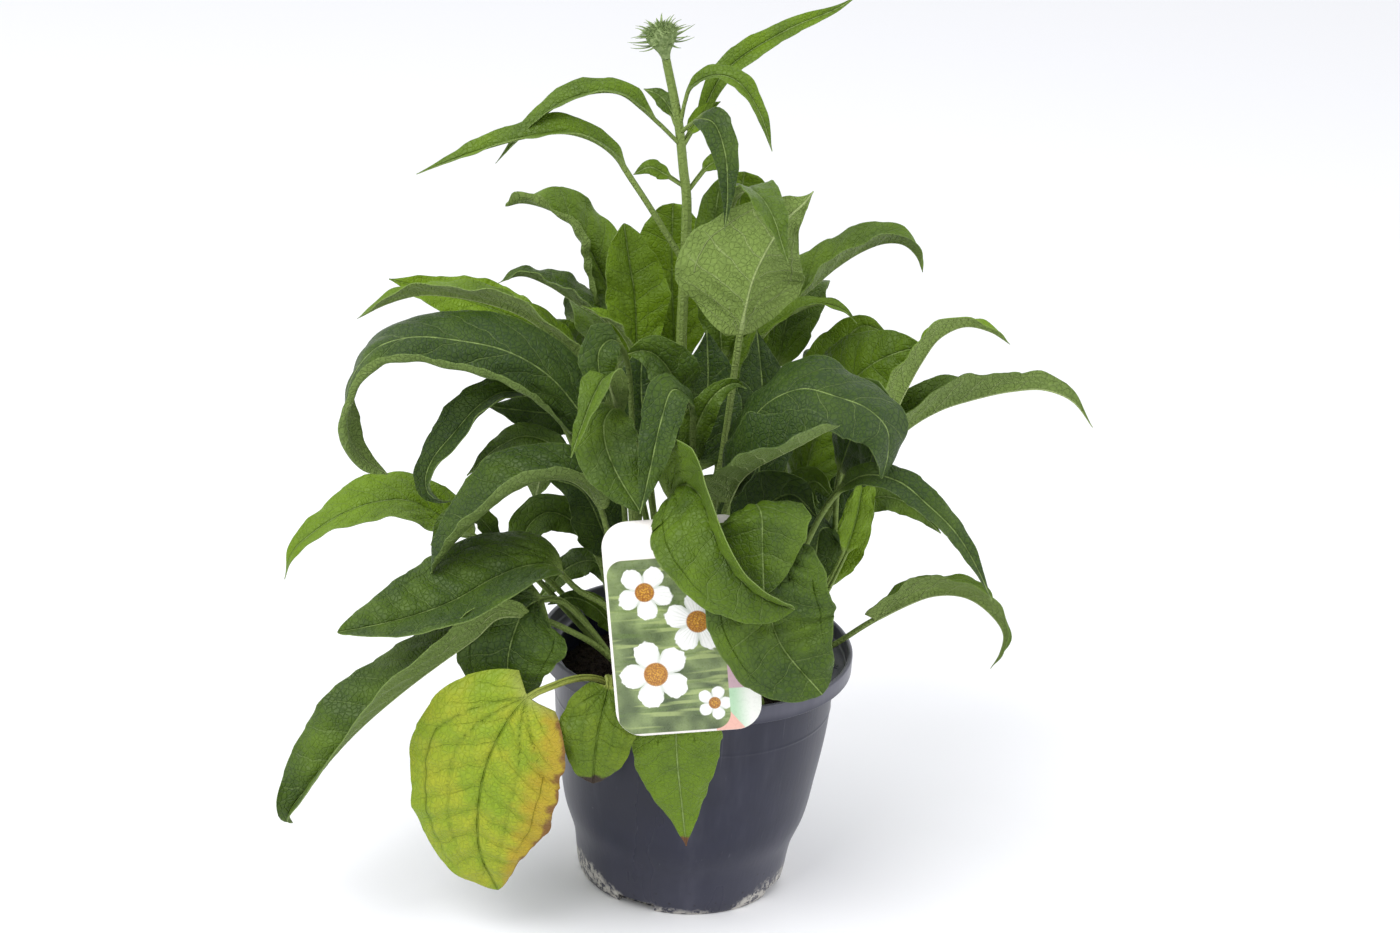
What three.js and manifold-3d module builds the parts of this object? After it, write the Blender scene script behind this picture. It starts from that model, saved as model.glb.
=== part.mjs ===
// A purple coneflower (Echinacea) in its nursery pot, before flowering: leafy shoots that rise from one
// crown, a single flowering stem with its bud, two yellowing old leaves, potting soil and a plant tag.
// Millimetres, +Z up. The origin is the middle of the pot's flat underside, and -Y is the front.
import * as THREE from "three";
import { mergeVertices } from "three/addons/utils/BufferGeometryUtils.js";
import Module from "manifold-3d";

const wasm = await Module();
wasm.setup();

// ---------------------------------------------------------------- driving dimensions
const POT_HEIGHT = 155;
const POT_RIM_RADIUS = 95;
const RIM_BAND = 11; // height of the overhanging lip
const RIM_WALL = 3;
const POT_WALL = 2;
const POT_FLOOR = 2.5;
// The belly's outside from the base to just under the lip, as radius and height.
const POT_BELLY = [[63, 0], [64.5, 4], [68, 27], [75, 48], [79, 72], [83.5, 105], [85.5, 140]];
const POT_SIDES = 32;
const DRAIN_NOTCHES = 4;
const FIRST_NOTCH = -113; // degrees round from +X
const NOTCH = { width: 24, height: 6, depth: 12 };

const SOIL_TOP = 128;
const GAP = 0.35; // clearance between neighbouring solids
const STUB_HEIGHT = 6; // how far the base of a shoot stands out of the soil
const STUB_SINK = 10; // and how far it is sunk in
const STUB_SIDES = 8;

const BLADE_THICKNESS = 0.9;
const RIB_HEIGHT = 1.5; // how far the midrib stands out under the blade
const PETIOLE_HALF_WIDTH = 2.1;
const PETIOLE_THICKNESS = 3.4;
const PETIOLE_STEP = 60; // about how long the straight lengths of a petiole are
const BLADE_STEP = 22; // and those of a blade
const OPENING = 0.12; // the share of a blade over which its petiole flattens out
const TIP_TAPER = 0.75; // how much the midrib narrows towards the tip
const NOTCHED = 0.94; // the width between two teeth, as a share of that at a tooth
const RIPPLES = 19; // radians of the edge's ripple over a blade
const OTHER_EDGE = 2.2; // how far the ripple of the left edge runs ahead

const OLD_STALK_RADIUS = 4;

const BUD = { radius: 9.3, height: 24, bracts: 7, scales: 9 };

// The plant tag: a card outside the pot, with a tongue behind it that is stuck into the soil.
const TAG = {
  width: 83, height: 125, corner: 15, thickness: 0.9, centre: [-9, -101, 209], lean: 8.8, tilt: 10.3,
};
const TONGUE = { width: 14, top: [-13, -97.5, 226], tip: [-14, -71, 112] };

// ---------------------------------------------------------------- solids
const { degToRad: rad, clamp } = THREE.MathUtils;

function toSolid(geometry) {
  const bare = new THREE.BufferGeometry();
  bare.setAttribute("position", geometry.getAttribute("position"));
  bare.setIndex(geometry.getIndex());
  const merged = mergeVertices(bare, 1e-3);
  const index = merged.getIndex().array;
  const faces = [];
  for (let i = 0; i < index.length; i += 3) {
    const [a, b, c] = index.slice(i, i + 3);
    if (a !== b && b !== c && c !== a) faces.push(a, b, c);
  }
  return new wasm.Manifold(
    new wasm.Mesh({
      numProp: 3,
      vertProperties: new Float32Array(merged.attributes.position.array),
      triVerts: new Uint32Array(faces),
    }),
  );
}

function toGeometry(solid) {
  const mesh = solid.getMesh();
  const geometry = new THREE.BufferGeometry();
  geometry.setAttribute("position", new THREE.BufferAttribute(mesh.vertProperties, 3));
  geometry.setIndex(new THREE.BufferAttribute(mesh.triVerts, 1));
  return geometry;
}

const joined = (solids) => solids.reduce((sum, solid) => sum.add(solid));

// The biggest body of a solid: crossing blades can leave a crumb or two loose.
function mainBody(solid) {
  const bodies = solid.decompose().sort((a, b) => b.volume() - a.volume());
  return bodies[0];
}

// A repeatable draw between 0 and 1 for an integer seed.
function draw(seed) {
  const x = Math.sin(seed * 127.1 + 311.7) * 43758.5453;
  return x - Math.floor(x);
}

// ---------------------------------------------------------------- leaves
// A closed surface through rings of points. A ring runs over its upper half from left to right and back
// along its lower half, and both faces of a blade are split along the same diagonals.
function loft(rings) {
  const around = rings[0].length;
  const columns = around / 2;
  const faces = [];
  const quad = (a, b, c, d) => faces.push(a, b, c, a, c, d);
  for (let i = 0; i < rings.length - 1; i++) {
    const here = i * around;
    const next = here + around;
    for (let k = 0; k < around; k++) {
      const m = (k + 1) % around;
      if (k < columns) quad(here + k, here + m, next + m, next + k);
      else quad(here + m, next + m, next + k, here + k);
    }
  }
  const last = (rings.length - 1) * around;
  for (let k = 0; k < columns - 1; k++) {
    const under = around - 1 - k;
    quad(k + 1, k, under, under - 1);
    quad(last + k, last + k + 1, last + under - 1, last + under);
  }
  const geometry = new THREE.BufferGeometry();
  const coordinates = rings.flat().flatMap((p) => [p.x, p.y, p.z]);
  geometry.setAttribute("position", new THREE.Float32BufferAttribute(coordinates, 3));
  geometry.setIndex(faces);
  return geometry;
}

// Directions along a leaf's route: forwards, sideways and out of its upper face.
const FRAME_STEPS = 64;
function framesAlong(curve, azimuth) {
  const side = new THREE.Vector3(Math.sin(azimuth), -Math.cos(azimuth), 0);
  const frames = [];
  for (let i = 0; i <= FRAME_STEPS; i++) {
    const forward = curve.getTangentAt(i / FRAME_STEPS);
    side.addScaledVector(forward, -side.dot(forward)).normalize();
    frames.push({ forward, side: side.clone() });
  }
  return frames;
}

// Half width of a blade at t from its base (0) to its tip (1), as a share of the widest.
function outline(t, widest, fullness) {
  const rise = Math.pow(t / widest, widest * fullness);
  const fall = Math.pow((1 - t) / (1 - widest), (1 - widest) * fullness);
  return rise * fall;
}

// Sideways and upwards from the midrib, over a half that sets off at an angle, bends and rolls at its edge.
function across(start, bend, roll, share) {
  const steps = 12;
  let out = 0;
  let rise = 0;
  for (let i = 0; i < steps; i++) {
    const r = ((i + 0.5) / steps) * share;
    const angle = start + bend * r + roll * Math.max(0, (r - ROLL_FROM) / (1 - ROLL_FROM));
    out += (share * Math.cos(angle)) / steps;
    rise += (share * Math.sin(angle)) / steps;
  }
  return [out, rise];
}

// The columns of points across a leaf, and how thick the petiole is at each.
const BROAD = { columns: [-1, -0.5, 0, 0.5, 1], section: [0.45, 0.9, 1, 0.9, 0.45] };
const NARROW = { columns: [-1, 0, 1], section: [0.6, 1, 0.6] };
const NARROW_LEAF = 16.5; // leaves with a smaller half width have the narrow set
const LOBE_REACH = 0.35; // how far along the blade its base lobes still show
const ROLL_FROM = 0.55; // how far out an edge starts to roll, as a share of the half width

// One leaf: a channelled petiole that opens into an arching blade.
//   route    the midrib's points
//   azimuth  the compass direction that it grows in
//   stalk    after how many of the route's points the blade opens
//   half     half the blade's width
//   cup      degrees that the left and right halves are folded up where they leave the midrib
//   curl     degrees that they bend up further on their way out, and roll more degrees near the edge
//   heart    how far the lobes at the blade's base reach back past the stalk
//   face     which way the upper face of the blade looks at its middle
//   twist    degrees that the blade turns further about its midrib towards its tip
//   wave     how far the edges wave up and down
//   widest   where along the blade it is widest, and fullness how blunt its ends are
//   stem     how stout the petiole is, and bends into how many straight lengths it is split
function leaf(options) {
  const { route, azimuth, stalk: open, half, cup, curl, roll, heart, face, twist, wave } = options;
  const { widest, fullness, seed, stem } = options;
  const curve = new THREE.CatmullRomCurve3(route, false, "centripetal");
  const length = curve.getLength();
  const lengths = curve.getLengths(FRAME_STEPS * (route.length - 1));
  const petiole = lengths[Math.round(FRAME_STEPS * open)] / length;
  const frames = framesAlong(curve, azimuth);
  const centre = frames[Math.round(FRAME_STEPS * (0.5 + 0.5 * petiole))];
  const target = centre.forward.clone().cross(face.clone().normalize()).normalize();
  const turnSign = Math.sign(centre.side.clone().cross(target).dot(centre.forward)) || 1;
  const toFace = turnSign * centre.side.angleTo(target);
  const { columns, section } = half < NARROW_LEAF ? NARROW : BROAD;
  const petioleSteps = options.bends ?? clamp(Math.round((petiole * length) / PETIOLE_STEP), 1, 2);
  const bladeSteps = clamp(Math.round(((1 - petiole) * length) / BLADE_STEP), 4, 7);
  const stations = [];
  for (let i = 0; i < petioleSteps; i++) stations.push((petiole * i) / petioleSteps);
  for (let i = 0; i <= bladeSteps; i++) {
    stations.push(petiole + (1 - petiole) * Math.pow(i / bladeSteps, 1.08));
  }
  const ribs = stations.map((s, index) => {
    const t = clamp((s - petiole) / (1 - petiole), 0, 1);
    const spread = Math.min(1, t / OPENING);
    const frame = frames[Math.round(s * FRAME_STEPS)];
    const forward = curve.getTangentAt(s);
    const turn = toFace * Math.min(1, s / petiole) + rad(twist) * (t - 0.5) * Math.sign(t);
    const side = frame.side.clone().addScaledVector(forward, -frame.side.dot(forward)).normalize();
    side.applyAxisAngle(forward, turn);
    const up = side.clone().cross(forward);
    const tooth = index % 2 ? 1 : NOTCHED;
    const opened = half * outline(t, widest, fullness) * tooth;
    const narrow = PETIOLE_HALF_WIDTH * stem * (1 - TIP_TAPER * t);
    const width = Math.hypot(opened, narrow);
    const openness = Math.min(1, opened / (3 * PETIOLE_HALF_WIDTH));
    const middle = curve.getPointAt(s);
    const points = columns.map((v) => {
      const fold = rad(v < 0 ? cup[0] : cup[1]) * (0.6 + 0.4 * openness);
      const bend = rad(v < 0 ? curl[0] : curl[1]) * openness;
      const edge = rad(v < 0 ? roll[0] : roll[1]) * openness;
      const [out, rise] = across(fold, bend, edge, Math.abs(v));
      const phase = 6 * draw(seed) + (v < 0 ? OTHER_EDGE : 0);
      const ripple = wave * openness * v * v * Math.sin(RIPPLES * t + phase);
      const back = heart * openness * v * v * Math.max(0, 1 - t / LOBE_REACH) ** 2;
      return middle
        .clone()
        .addScaledVector(side, Math.sign(v) * width * out)
        .addScaledVector(up, width * rise + ripple)
        .addScaledVector(forward, -back);
    });
    const rib = Math.max(0, 1 - 1.6 * t);
    const thickness = columns.map((v, j) => {
      const stalk = PETIOLE_THICKNESS * stem * section[j];
      const blade = BLADE_THICKNESS + (v === 0 ? RIB_HEIGHT * rib : 0);
      return stalk + (blade - stalk) * spread;
    });
    return { points, thickness, up };
  });
  const rings = ribs.map(({ points, thickness, up }, i) => {
    const before = ribs[Math.max(0, i - 1)].points;
    const after = ribs[Math.min(ribs.length - 1, i + 1)].points;
    const upper = [];
    const lower = [];
    points.forEach((point, j) => {
      const along = after[j].clone().sub(before[j]);
      const across = points[Math.min(columns.length - 1, j + 1)].clone().sub(points[Math.max(0, j - 1)]);
      const normal = across.cross(along).normalize();
      if (normal.dot(up) < 0.2) normal.lerp(up, 0.6).normalize();
      upper.push(point.clone().addScaledVector(normal, thickness[j] / 2));
      lower.push(point.clone().addScaledVector(normal, -thickness[j] / 2));
    });
    return [...upper, ...lower.reverse()];
  });
  return toSolid(loft(rings));
}

// The midrib routes of the basal leaves, by the shoot that they grow from. A route starts at its shoot's
// foot in the soil, which isn't repeated here, and stalk says after how many points the blade opens.
const SHOOTS = {
  west: {
    foot: [-38, -2],
    radius: 10,
    face: [0, -1, 0.8],
    leaves: [
      { half: 23, stalk: 2.3, cup: [18, 6], curl: [-10, -10], roll: [30, 0], face: [0, -0.5, 1],
        widest: 0.3, route: [[-94, 0, 188], [-130, 5, 204], [-160, 10, 219], [-180, 8, 228],
        [-200, 5, 226], [-218, 0, 219], [-234, -5, 208], [-246, -8, 195], [-250, -10, 178]] },
      { half: 27, stalk: 1.35, cup: [0, -30], curl: [20, -20], roll: [150, 0], face: [0, -0.9, 0.6],
        twist: 115, widest: 0.45, fullness: 1.5, route: [[-52, -18, 262], [-62, -22, 281],
        [-79, -26, 307], [-96, -30, 327], [-119, -34, 341], [-146, -38, 347], [-176, -42, 348],
        [-195, -44, 340], [-207, -46, 323], [-211, -46, 304], [-208, -44, 284], [-199, -40, 270],
        [-186, -38, 262]] },
      { half: 13, stalk: 1.6, cup: [20, 20], curl: [-10, 10], roll: [60, 0], face: [0, -0.5, 0.9],
        twist: -40, route: [[-86, -6, 286], [-104, -12, 307], [-123, -18, 311], [-137, -24, 303],
        [-149, -28, 288], [-161, -30, 271], [-165, -30, 258], [-163, -28, 248], [-155, -26, 243],
        [-146, -24, 244]] },
      { half: 16, stalk: 1.7, cup: [38, 32], curl: [-8, -8], face: [0, 0.15, 1], widest: 0.45,
        fullness: 1.5, route: [[-61, -2, 293], [-79, 0, 327], [-97, 0, 341], [-113, 0, 352],
        [-132, 0, 358], [-155, 0, 361], [-175, -2, 361], [-195, -3, 354], [-211, -4, 344]] },
      { half: 8, stalk: 1, cup: [20, 20], route: [[-120, -30, 223], [-138, -36, 242], [-150, -42, 238],
        [-159, -44, 222]] },
      { half: 12, stalk: 1.5, cup: [20, 20], route: [[-62, -2, 203], [-78, 6, 222], [-94, 4, 229],
        [-105, 0, 222], [-109, -3, 203], [-104, -5, 182]] },
      { half: 16, stalk: 1.4, route: [[-50, -6, 190], [-62, -10, 228], [-76, -12, 252], [-96, -14, 258]] },
      { half: 7, stalk: 1, route: [[-50, -10, 160], [-62, -16, 178], [-76, -22, 186], [-90, -28, 183]] },
    ],
  },
  northwest: {
    foot: [-38, 26],
    radius: 10,
    face: [0, -1, 0.8],
    leaves: [
      { half: 16, stalk: 2, cup: [10, 10], route: [[-68, 34, 271], [-105, 50, 325], [-134, 55, 336],
        [-155, 58, 341], [-180, 58, 346], [-201, 55, 351]] },
      { half: 18, stalk: 1.8, cup: [45, 20], face: [0, -0.1, 1], route: [[-50, 20, 311], [-66, 24, 345],
        [-86, 26, 355], [-104, 28, 364], [-120, 28, 368], [-133, 28, 362]] },
      { half: 15, stalk: 1.5, route: [[-60, 14, 255], [-83, 16, 288], [-100, 12, 289], [-118, 8, 291],
        [-134, 5, 293]] },
      { half: 23, stalk: 1.8, face: [0, 0.5, 1], route: [[-62, 54, 240], [-86, 78, 298], [-104, 98, 318],
        [-118, 116, 308], [-124, 128, 284]] },
      { half: 21, stalk: 1.8, cup: [16, 16], face: [0, 0.5, 1], route: [[-54, 52, 186], [-74, 78, 222],
        [-92, 100, 228], [-106, 116, 212], [-112, 126, 186]] },
      { half: 8, stalk: 1, cup: [20, 20], route: [[-83, -2, 266], [-108, 0, 278], [-125, 2, 270],
        [-144, 0, 250]] },
      { half: 9, stalk: 1.4, cup: [15, 15], route: [[-54, 14, 170], [-65, 22, 191], [-81, 27, 185],
        [-93, 28, 169], [-101, 28, 158]] },
      { half: 22, stalk: 1.6, cup: [45, 0], curl: [0, -10], roll: [110, 0], face: [0.3, -1, 0.6],
        twist: 120, wave: 3.4, widest: 0.5, fullness: 1.3, route: [[-45, 35, 293], [-62, 42, 345],
        [-74, 45, 369], [-83, 46, 384], [-94, 44, 398], [-106, 40, 406], [-122, 36, 410],
        [-131, 32, 408]] },
      { half: 9, stalk: 1.4, cup: [40, 20], face: [0, -0.3, 1], route: [[-44, 2, 305], [-49, 0, 333],
        [-59, -6, 351], [-70, -10, 360], [-81, -12, 365]] },
    ],
  },
  southwest: {
    foot: [-26, -34],
    radius: 10,
    face: [0, -1, 0.7],
    leaves: [
      { half: 27, stalk: 1.8, cup: [62, 0], curl: [10, -16], roll: [60, 0], face: [0, -0.75, 0.8],
        widest: 0.45, fullness: 1.5, route: [[-53, -40, 223], [-64, -46, 259], [-78, -52, 273],
        [-94, -56, 274], [-111, -60, 267], [-126, -63, 254], [-141, -65, 237], [-151, -66, 223],
        [-156, -66, 214]] },
      { half: 34, stalk: 2.6, cup: [56, -10], curl: [0, -24], face: [0, -0.95, 0.6], widest: 0.42,
        fullness: 1.4, route: [[-52, -38, 186], [-72, -46, 202], [-89, -54, 220], [-104, -60, 220],
        [-121, -68, 214], [-140, -78, 204], [-162, -86, 196], [-185, -94, 191], [-204, -100, 188]] },
      { half: 30, stalk: 3, cup: [82, -5], curl: [10, -20], roll: [0, 0], face: [0, -0.8, 0.7],
        twist: -60, wave: 3, widest: 0.5, fullness: 1.4, route: [[-54, -50, 165], [-71, -62, 181],
        [-95, -74, 195], [-115, -83, 198], [-127, -89, 187], [-145, -93, 172], [-166, -99, 154],
        [-191, -106, 129], [-215, -111, 97], [-228, -112, 75], [-226, -110, 69]] },
      { half: 31, stalk: 2.5, cup: [10, 10], face: [0, -1, 0.3], fullness: 1.4, route: [[-66, -50, 183],
        [-83, -62, 202], [-98, -74, 202], [-106, -84, 184], [-107, -88, 164], [-99, -88, 139]] },
      { half: 18, stalk: 2, cup: [14, 14], curl: [-20, -20], face: [0, -1, 0.4], fullness: 1.3, route: [
        [-47, -45, 279], [-56, -58, 320], [-61, -72, 318], [-59, -82, 307], [-51, -90, 293],
        [-37, -95, 274]] },
      { half: 12, stalk: 2.5, cup: [10, 40], face: [-0.3, -1, 0.4], route: [[-46, -30, 295],
        [-53, -40, 347], [-61, -48, 358], [-67, -54, 353], [-66, -58, 340], [-61, -60, 326]] },
      { half: 10, stalk: 1.4, cup: [30, 30], face: [-0.5, -1, 0.4], route: [[-50, -44, 297],
        [-58, -62, 332], [-62, -76, 345], [-67, -88, 338], [-72, -96, 323], [-77, -100, 305]] },
    ],
  },
  south: {
    foot: [4, -42],
    radius: 9,
    face: [0, -1, 0.6],
    leaves: [
      { half: 27, stalk: 2, cup: [-8, -8], widest: 0.3, fullness: 1.8, bends: 3, route: [[-2, -84, 168],
        [-6, -100, 165], [-8, -106, 152], [-6, -106, 127], [-2, -102, 100], [3, -96, 66]] },
      { half: 35, stalk: 2.2, cup: [74, 4], curl: [0, -14], face: [-0.25, -1, 0.55], widest: 0.42,
        fullness: 1.35, route: [[-25, -50, 227], [-22, -66, 266], [-14, -84, 288], [-4, -100, 288],
        [2, -115, 280], [8, -125, 270], [19, -132, 256], [35, -137, 246], [52, -140, 242]] },
      { half: 12, stalk: 2.4, cup: [16, 16], route: [[-9, -50, 253], [-11, -62, 307], [-14, -70, 333],
        [-24, -80, 342], [-29, -90, 327], [-33, -96, 300], [-37, -98, 274]] },
      { half: 9, stalk: 1, cup: [16, 16], route: [[-11, -50, 286], [-9, -56, 314], [0, -58, 334],
        [10, -55, 340], [17, -51, 336]] },
    ],
  },
  southeast: {
    foot: [34, -28],
    radius: 10,
    face: [0, -1, 0.6],
    leaves: [
      { half: 27, stalk: 2.4, cup: [-6, -6], curl: [-20, -20], face: [0, -1, 0.4], widest: 0.42,
        fullness: 1.3, route: [[26, -60, 244], [25, -86, 271], [27, -110, 290], [30, -121, 288],
        [32, -125, 270], [35, -128, 244]] },
      { half: 36, stalk: 3.5, cup: [4, 4], curl: [-10, -10], heart: 10, face: [-0.05, -1, 0.35],
        widest: 0.42, fullness: 1.05, route: [[59, -46, 194], [51, -78, 236], [40, -94, 257],
        [33, -107, 263], [35, -119, 249], [45, -127, 217], [72, -130, 187]] },
      { half: 27, stalk: 1.7, cup: [-6, 6], curl: [-20, -20], face: [0, -0.7, 1], twist: -30, wave: 3,
        widest: 0.5, fullness: 1.3, route: [[14, -52, 231], [12, -60, 283], [18, -68, 317],
        [30, -76, 338], [48, -84, 350], [66, -90, 349], [83, -94, 345], [95, -97, 335], [97, -98, 320],
        [95, -98, 306]] },
      { half: 8.5, stalk: 2, cup: [14, 24], face: [0.2, -1, 0.7], route: [[56, -46, 232], [73, -70, 285],
        [88, -86, 303], [105, -90, 302], [123, -90, 289], [140, -88, 273], [153, -86, 254],
        [165, -84, 232]] },
      { half: 27, stalk: 2.2, cup: [80, 20], curl: [-12, -4], face: [0, -0.1, 1], widest: 0.45,
        fullness: 1.3, route: [[7, -52, 230], [11, -62, 267], [16, -76, 289], [25, -92, 305],
        [38, -104, 318], [49, -112, 328], [59, -117, 337], [68, -120, 343]] },
      { half: 9, stalk: 2.6, cup: [16, 16], face: [0.3, -1, 0.2], route: [[72, -34, 204], [79, -38, 226],
        [84, -40, 243], [87, -40, 260], [88, -40, 274], [90, -38, 289]] },
    ],
  },
  east: {
    foot: [42, 8],
    radius: 10,
    face: [0, -1, 0.8],
    leaves: [
      { half: 25, stalk: 2.2, cup: [6, 10], curl: [-16, -20], face: [0, -1, 0.5], widest: 0.45,
        fullness: 1.3, route: [[75, -8, 217], [75, -26, 275], [80, -40, 308], [89, -52, 322],
        [92, -60, 314], [90, -63, 302], [87, -64, 287]] },
      { half: 10, stalk: 1.3, route: [[72, 0, 187], [86, -5, 224], [90, -8, 250], [93, -12, 273],
        [97, -15, 289]] },
      { half: 10, stalk: 1.2, cup: [20, 20], route: [[81, 34, 226], [98, 42, 238], [114, 45, 239],
        [130, 44, 231], [144, 40, 220]] },
      { half: 17, stalk: 2.2, cup: [36, 60], curl: [-10, -10], heart: 6, face: [0, 0.1, 1],
        widest: 0.3, route: [[83, 10, 153], [103, 9, 170], [122, 8, 184], [141, 6, 194], [159, 2, 196],
        [173, -3, 190], [184, -6, 177], [183, -8, 165], [178, -10, 155]] },
      { half: 20, stalk: 1.7, cup: [36, 74], curl: [-8, -8], face: [0, 0, 1], twist: -100, widest: 0.3,
        route: [[87, 20, 258], [103, 21, 279], [117, 22, 295], [134, 23, 307], [154, 24, 315],
        [174, 24, 321], [194, 22, 324], [211, 19, 319], [224, 15, 305]] },
      { half: 14, stalk: 1.6, cup: [24, 62], face: [0, -0.1, 1], widest: 0.45, route: [[84, 0, 277],
        [100, -2, 300], [109, -4, 325], [117, -6, 345], [126, -8, 361], [140, -8, 369], [155, -8, 367],
        [167, -8, 360]] },
      { half: 30, stalk: 1.4, cup: [-8, 10], curl: [-20, -26], face: [-0.1, -1, 0.9], widest: 0.42,
        fullness: 1.3, route: [[56, 10, 234], [58, 14, 271], [64, 18, 296], [76, 14, 318], [90, 6, 337],
        [105, 0, 348], [117, -6, 354]] },
      { half: 12, stalk: 1.2, route: [[50, -20, 239], [53, -25, 264], [61, -30, 275], [74, -35, 266]] },
      { half: 21, stalk: 2.4, face: [0, -1, 0.4], route: [[71, 0, 187], [75, -6, 221], [75, -14, 239],
        [68, -22, 242], [66, -27, 229], [67, -28, 206]] },
      { half: 22, stalk: 1.4, face: [0.1, -1, 0.4], route: [[81, 6, 212], [76, 12, 238], [71, 16, 262],
        [66, 16, 284]] },
    ],
  },
  northeast: {
    foot: [24, 38],
    radius: 10,
    face: [0, -1, 0.5],
    leaves: [
      { half: 17, stalk: 1.4, route: [[54, 45, 259], [64, 54, 299], [72, 60, 325], [85, 62, 342],
        [101, 60, 339]] },
      { half: 14, stalk: 1.2, cup: [20, 20], widest: 0.5, fullness: 1.2, route: [[4, 22, 315],
        [-3, 27, 362], [-8, 30, 398], [-8, 34, 418], [-6, 36, 434]] },
      { half: 24, stalk: 1.5, cup: [12, 12], widest: 0.55, fullness: 0.8, route: [[18, 50, 296],
        [13, 58, 335], [7, 64, 376], [5, 66, 404], [7, 62, 432]] },
      { half: 12, stalk: 4.2, cup: [20, 30], face: [0.4, -1, 0.5], route: [[0, 28, 300], [-4, 28, 362],
        [-2, 12, 404], [1, -6, 431], [9, -28, 446], [18, -50, 446], [25, -63, 438], [30, -68, 426],
        [34, -70, 417]] },
      { half: 24, stalk: 1.5, cup: [38, 42], curl: [-16, -4], face: [0, -0.1, 1], twist: -50,
        widest: 0.42, fullness: 1.5, route: [[8, 36, 297], [15, 42, 331], [33, 48, 351], [50, 54, 364],
        [66, 58, 379], [82, 58, 391], [95, 56, 397], [105, 54, 397], [113, 52, 391], [117, 50, 382]] },
      { half: 26, stalk: 1.8, face: [0, 0.5, 1], route: [[44, 66, 226], [60, 92, 286], [76, 112, 308],
        [92, 130, 298], [102, 142, 268]] },
      { half: 21, stalk: 1.8, cup: [16, 16], face: [0, 0.5, 1], route: [[40, 70, 172], [54, 98, 200],
        [66, 120, 200], [76, 136, 178], [80, 144, 150]] },
      { half: 22, stalk: 1.8, face: [0, 0.5, 1], route: [[28, 64, 244], [38, 88, 318], [44, 110, 350],
        [48, 130, 340], [50, 144, 310]] },
      { half: 12, stalk: 1.2, cup: [30, 40], face: [0, -0.2, 1], route: [[8, 11, 294], [16, 15, 329],
        [29, 17, 351], [43, 17, 362], [57, 17, 368], [70, 15, 366], [79, 13, 359]] },
    ],
  },
  north: {
    foot: [-10, 42],
    radius: 10,
    face: [0, 0.5, 1],
    leaves: [
      { half: 20, stalk: 1.5, cup: [26, 26], face: [0.3, -1, 0.3], widest: 0.5, fullness: 1.5, route: [
        [-46, 12, 302], [-49, 18, 337], [-52, 22, 363], [-57, 25, 385], [-61, 26, 405]] },
      { half: 23, stalk: 1.5, cup: [12, 12], face: [0, -1, 0.3], widest: 0.5, fullness: 0.9, route: [
        [-24, 38, 294], [-28, 46, 336], [-31, 52, 362], [-33, 58, 388], [-34, 60, 410]] },
      { half: 26, stalk: 1.8, cup: [12, 12], route: [[-16, 70, 220], [-30, 100, 280], [-48, 130, 300],
        [-62, 156, 285], [-70, 172, 255]] },
      { half: 24, stalk: 1.8, cup: [16, 16], route: [[2, 74, 210], [10, 106, 262], [22, 134, 272],
        [34, 158, 250], [40, 172, 222]] },
      { half: 24, stalk: 1.8, route: [[-6, 62, 260], [-2, 84, 340], [4, 104, 378], [8, 124, 370],
        [10, 138, 342]] },
      { half: 23, stalk: 1.8, cup: [16, 16], route: [[-51, 62, 257], [-66, 86, 306], [-76, 108, 325],
        [-82, 128, 310], [-83, 140, 280]] },
      { half: 18, stalk: 1.6, cup: [10, 10], route: [[-12, 84, 178], [-8, 112, 196], [-4, 138, 184],
        [-2, 154, 150], [-4, 160, 118]] },
    ],
  },
  heart: {
    foot: [-8, -14],
    radius: 8,
    face: [0, -1, 0.6],
    leaves: [
      { half: 16, stalk: 2, cup: [40, 20], face: [0, -1, 0.5], fullness: 1.3, route: [[-13, -28, 294],
        [-20, -36, 321], [-27, -42, 340], [-37, -46, 351], [-44, -49, 353], [-51, -50, 351]] },
      { half: 22, stalk: 1.4, route: [[8, -26, 200], [28, -36, 252], [48, -46, 272], [64, -54, 262]] },
      { half: 43, stalk: 3, cup: [66, 4], curl: [-30, -10], roll: [0, 0], heart: 5, face: [0.2, 1, 0],
        wave: 2.6, widest: 0.36, fullness: 2.4, route: [[7, -20, 289], [9, -30, 324], [11, -38, 363],
        [13, -42, 384], [16, -43, 400], [23, -40, 417], [32, -32, 431], [41, -25, 439], [46, -20, 445]] },
      { half: 18, stalk: 1.4, face: [0.1, -1, 0.4], route: [[-36, -16, 269], [-41, -13, 298],
        [-44, -11, 323], [-44, -11, 345]] },
      { half: 22, stalk: 1.4, face: [0.2, -1, 0.4], route: [[-7, -16, 258], [-6, -14, 286],
        [-5, -12, 323], [-8, -12, 356]] },
      { half: 22, stalk: 1.4, face: [0.2, -1, 0.4], route: [[27, -4, 237], [29, -2, 281], [27, 0, 318],
        [21, 4, 353]] },
    ],
  },
};

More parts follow.
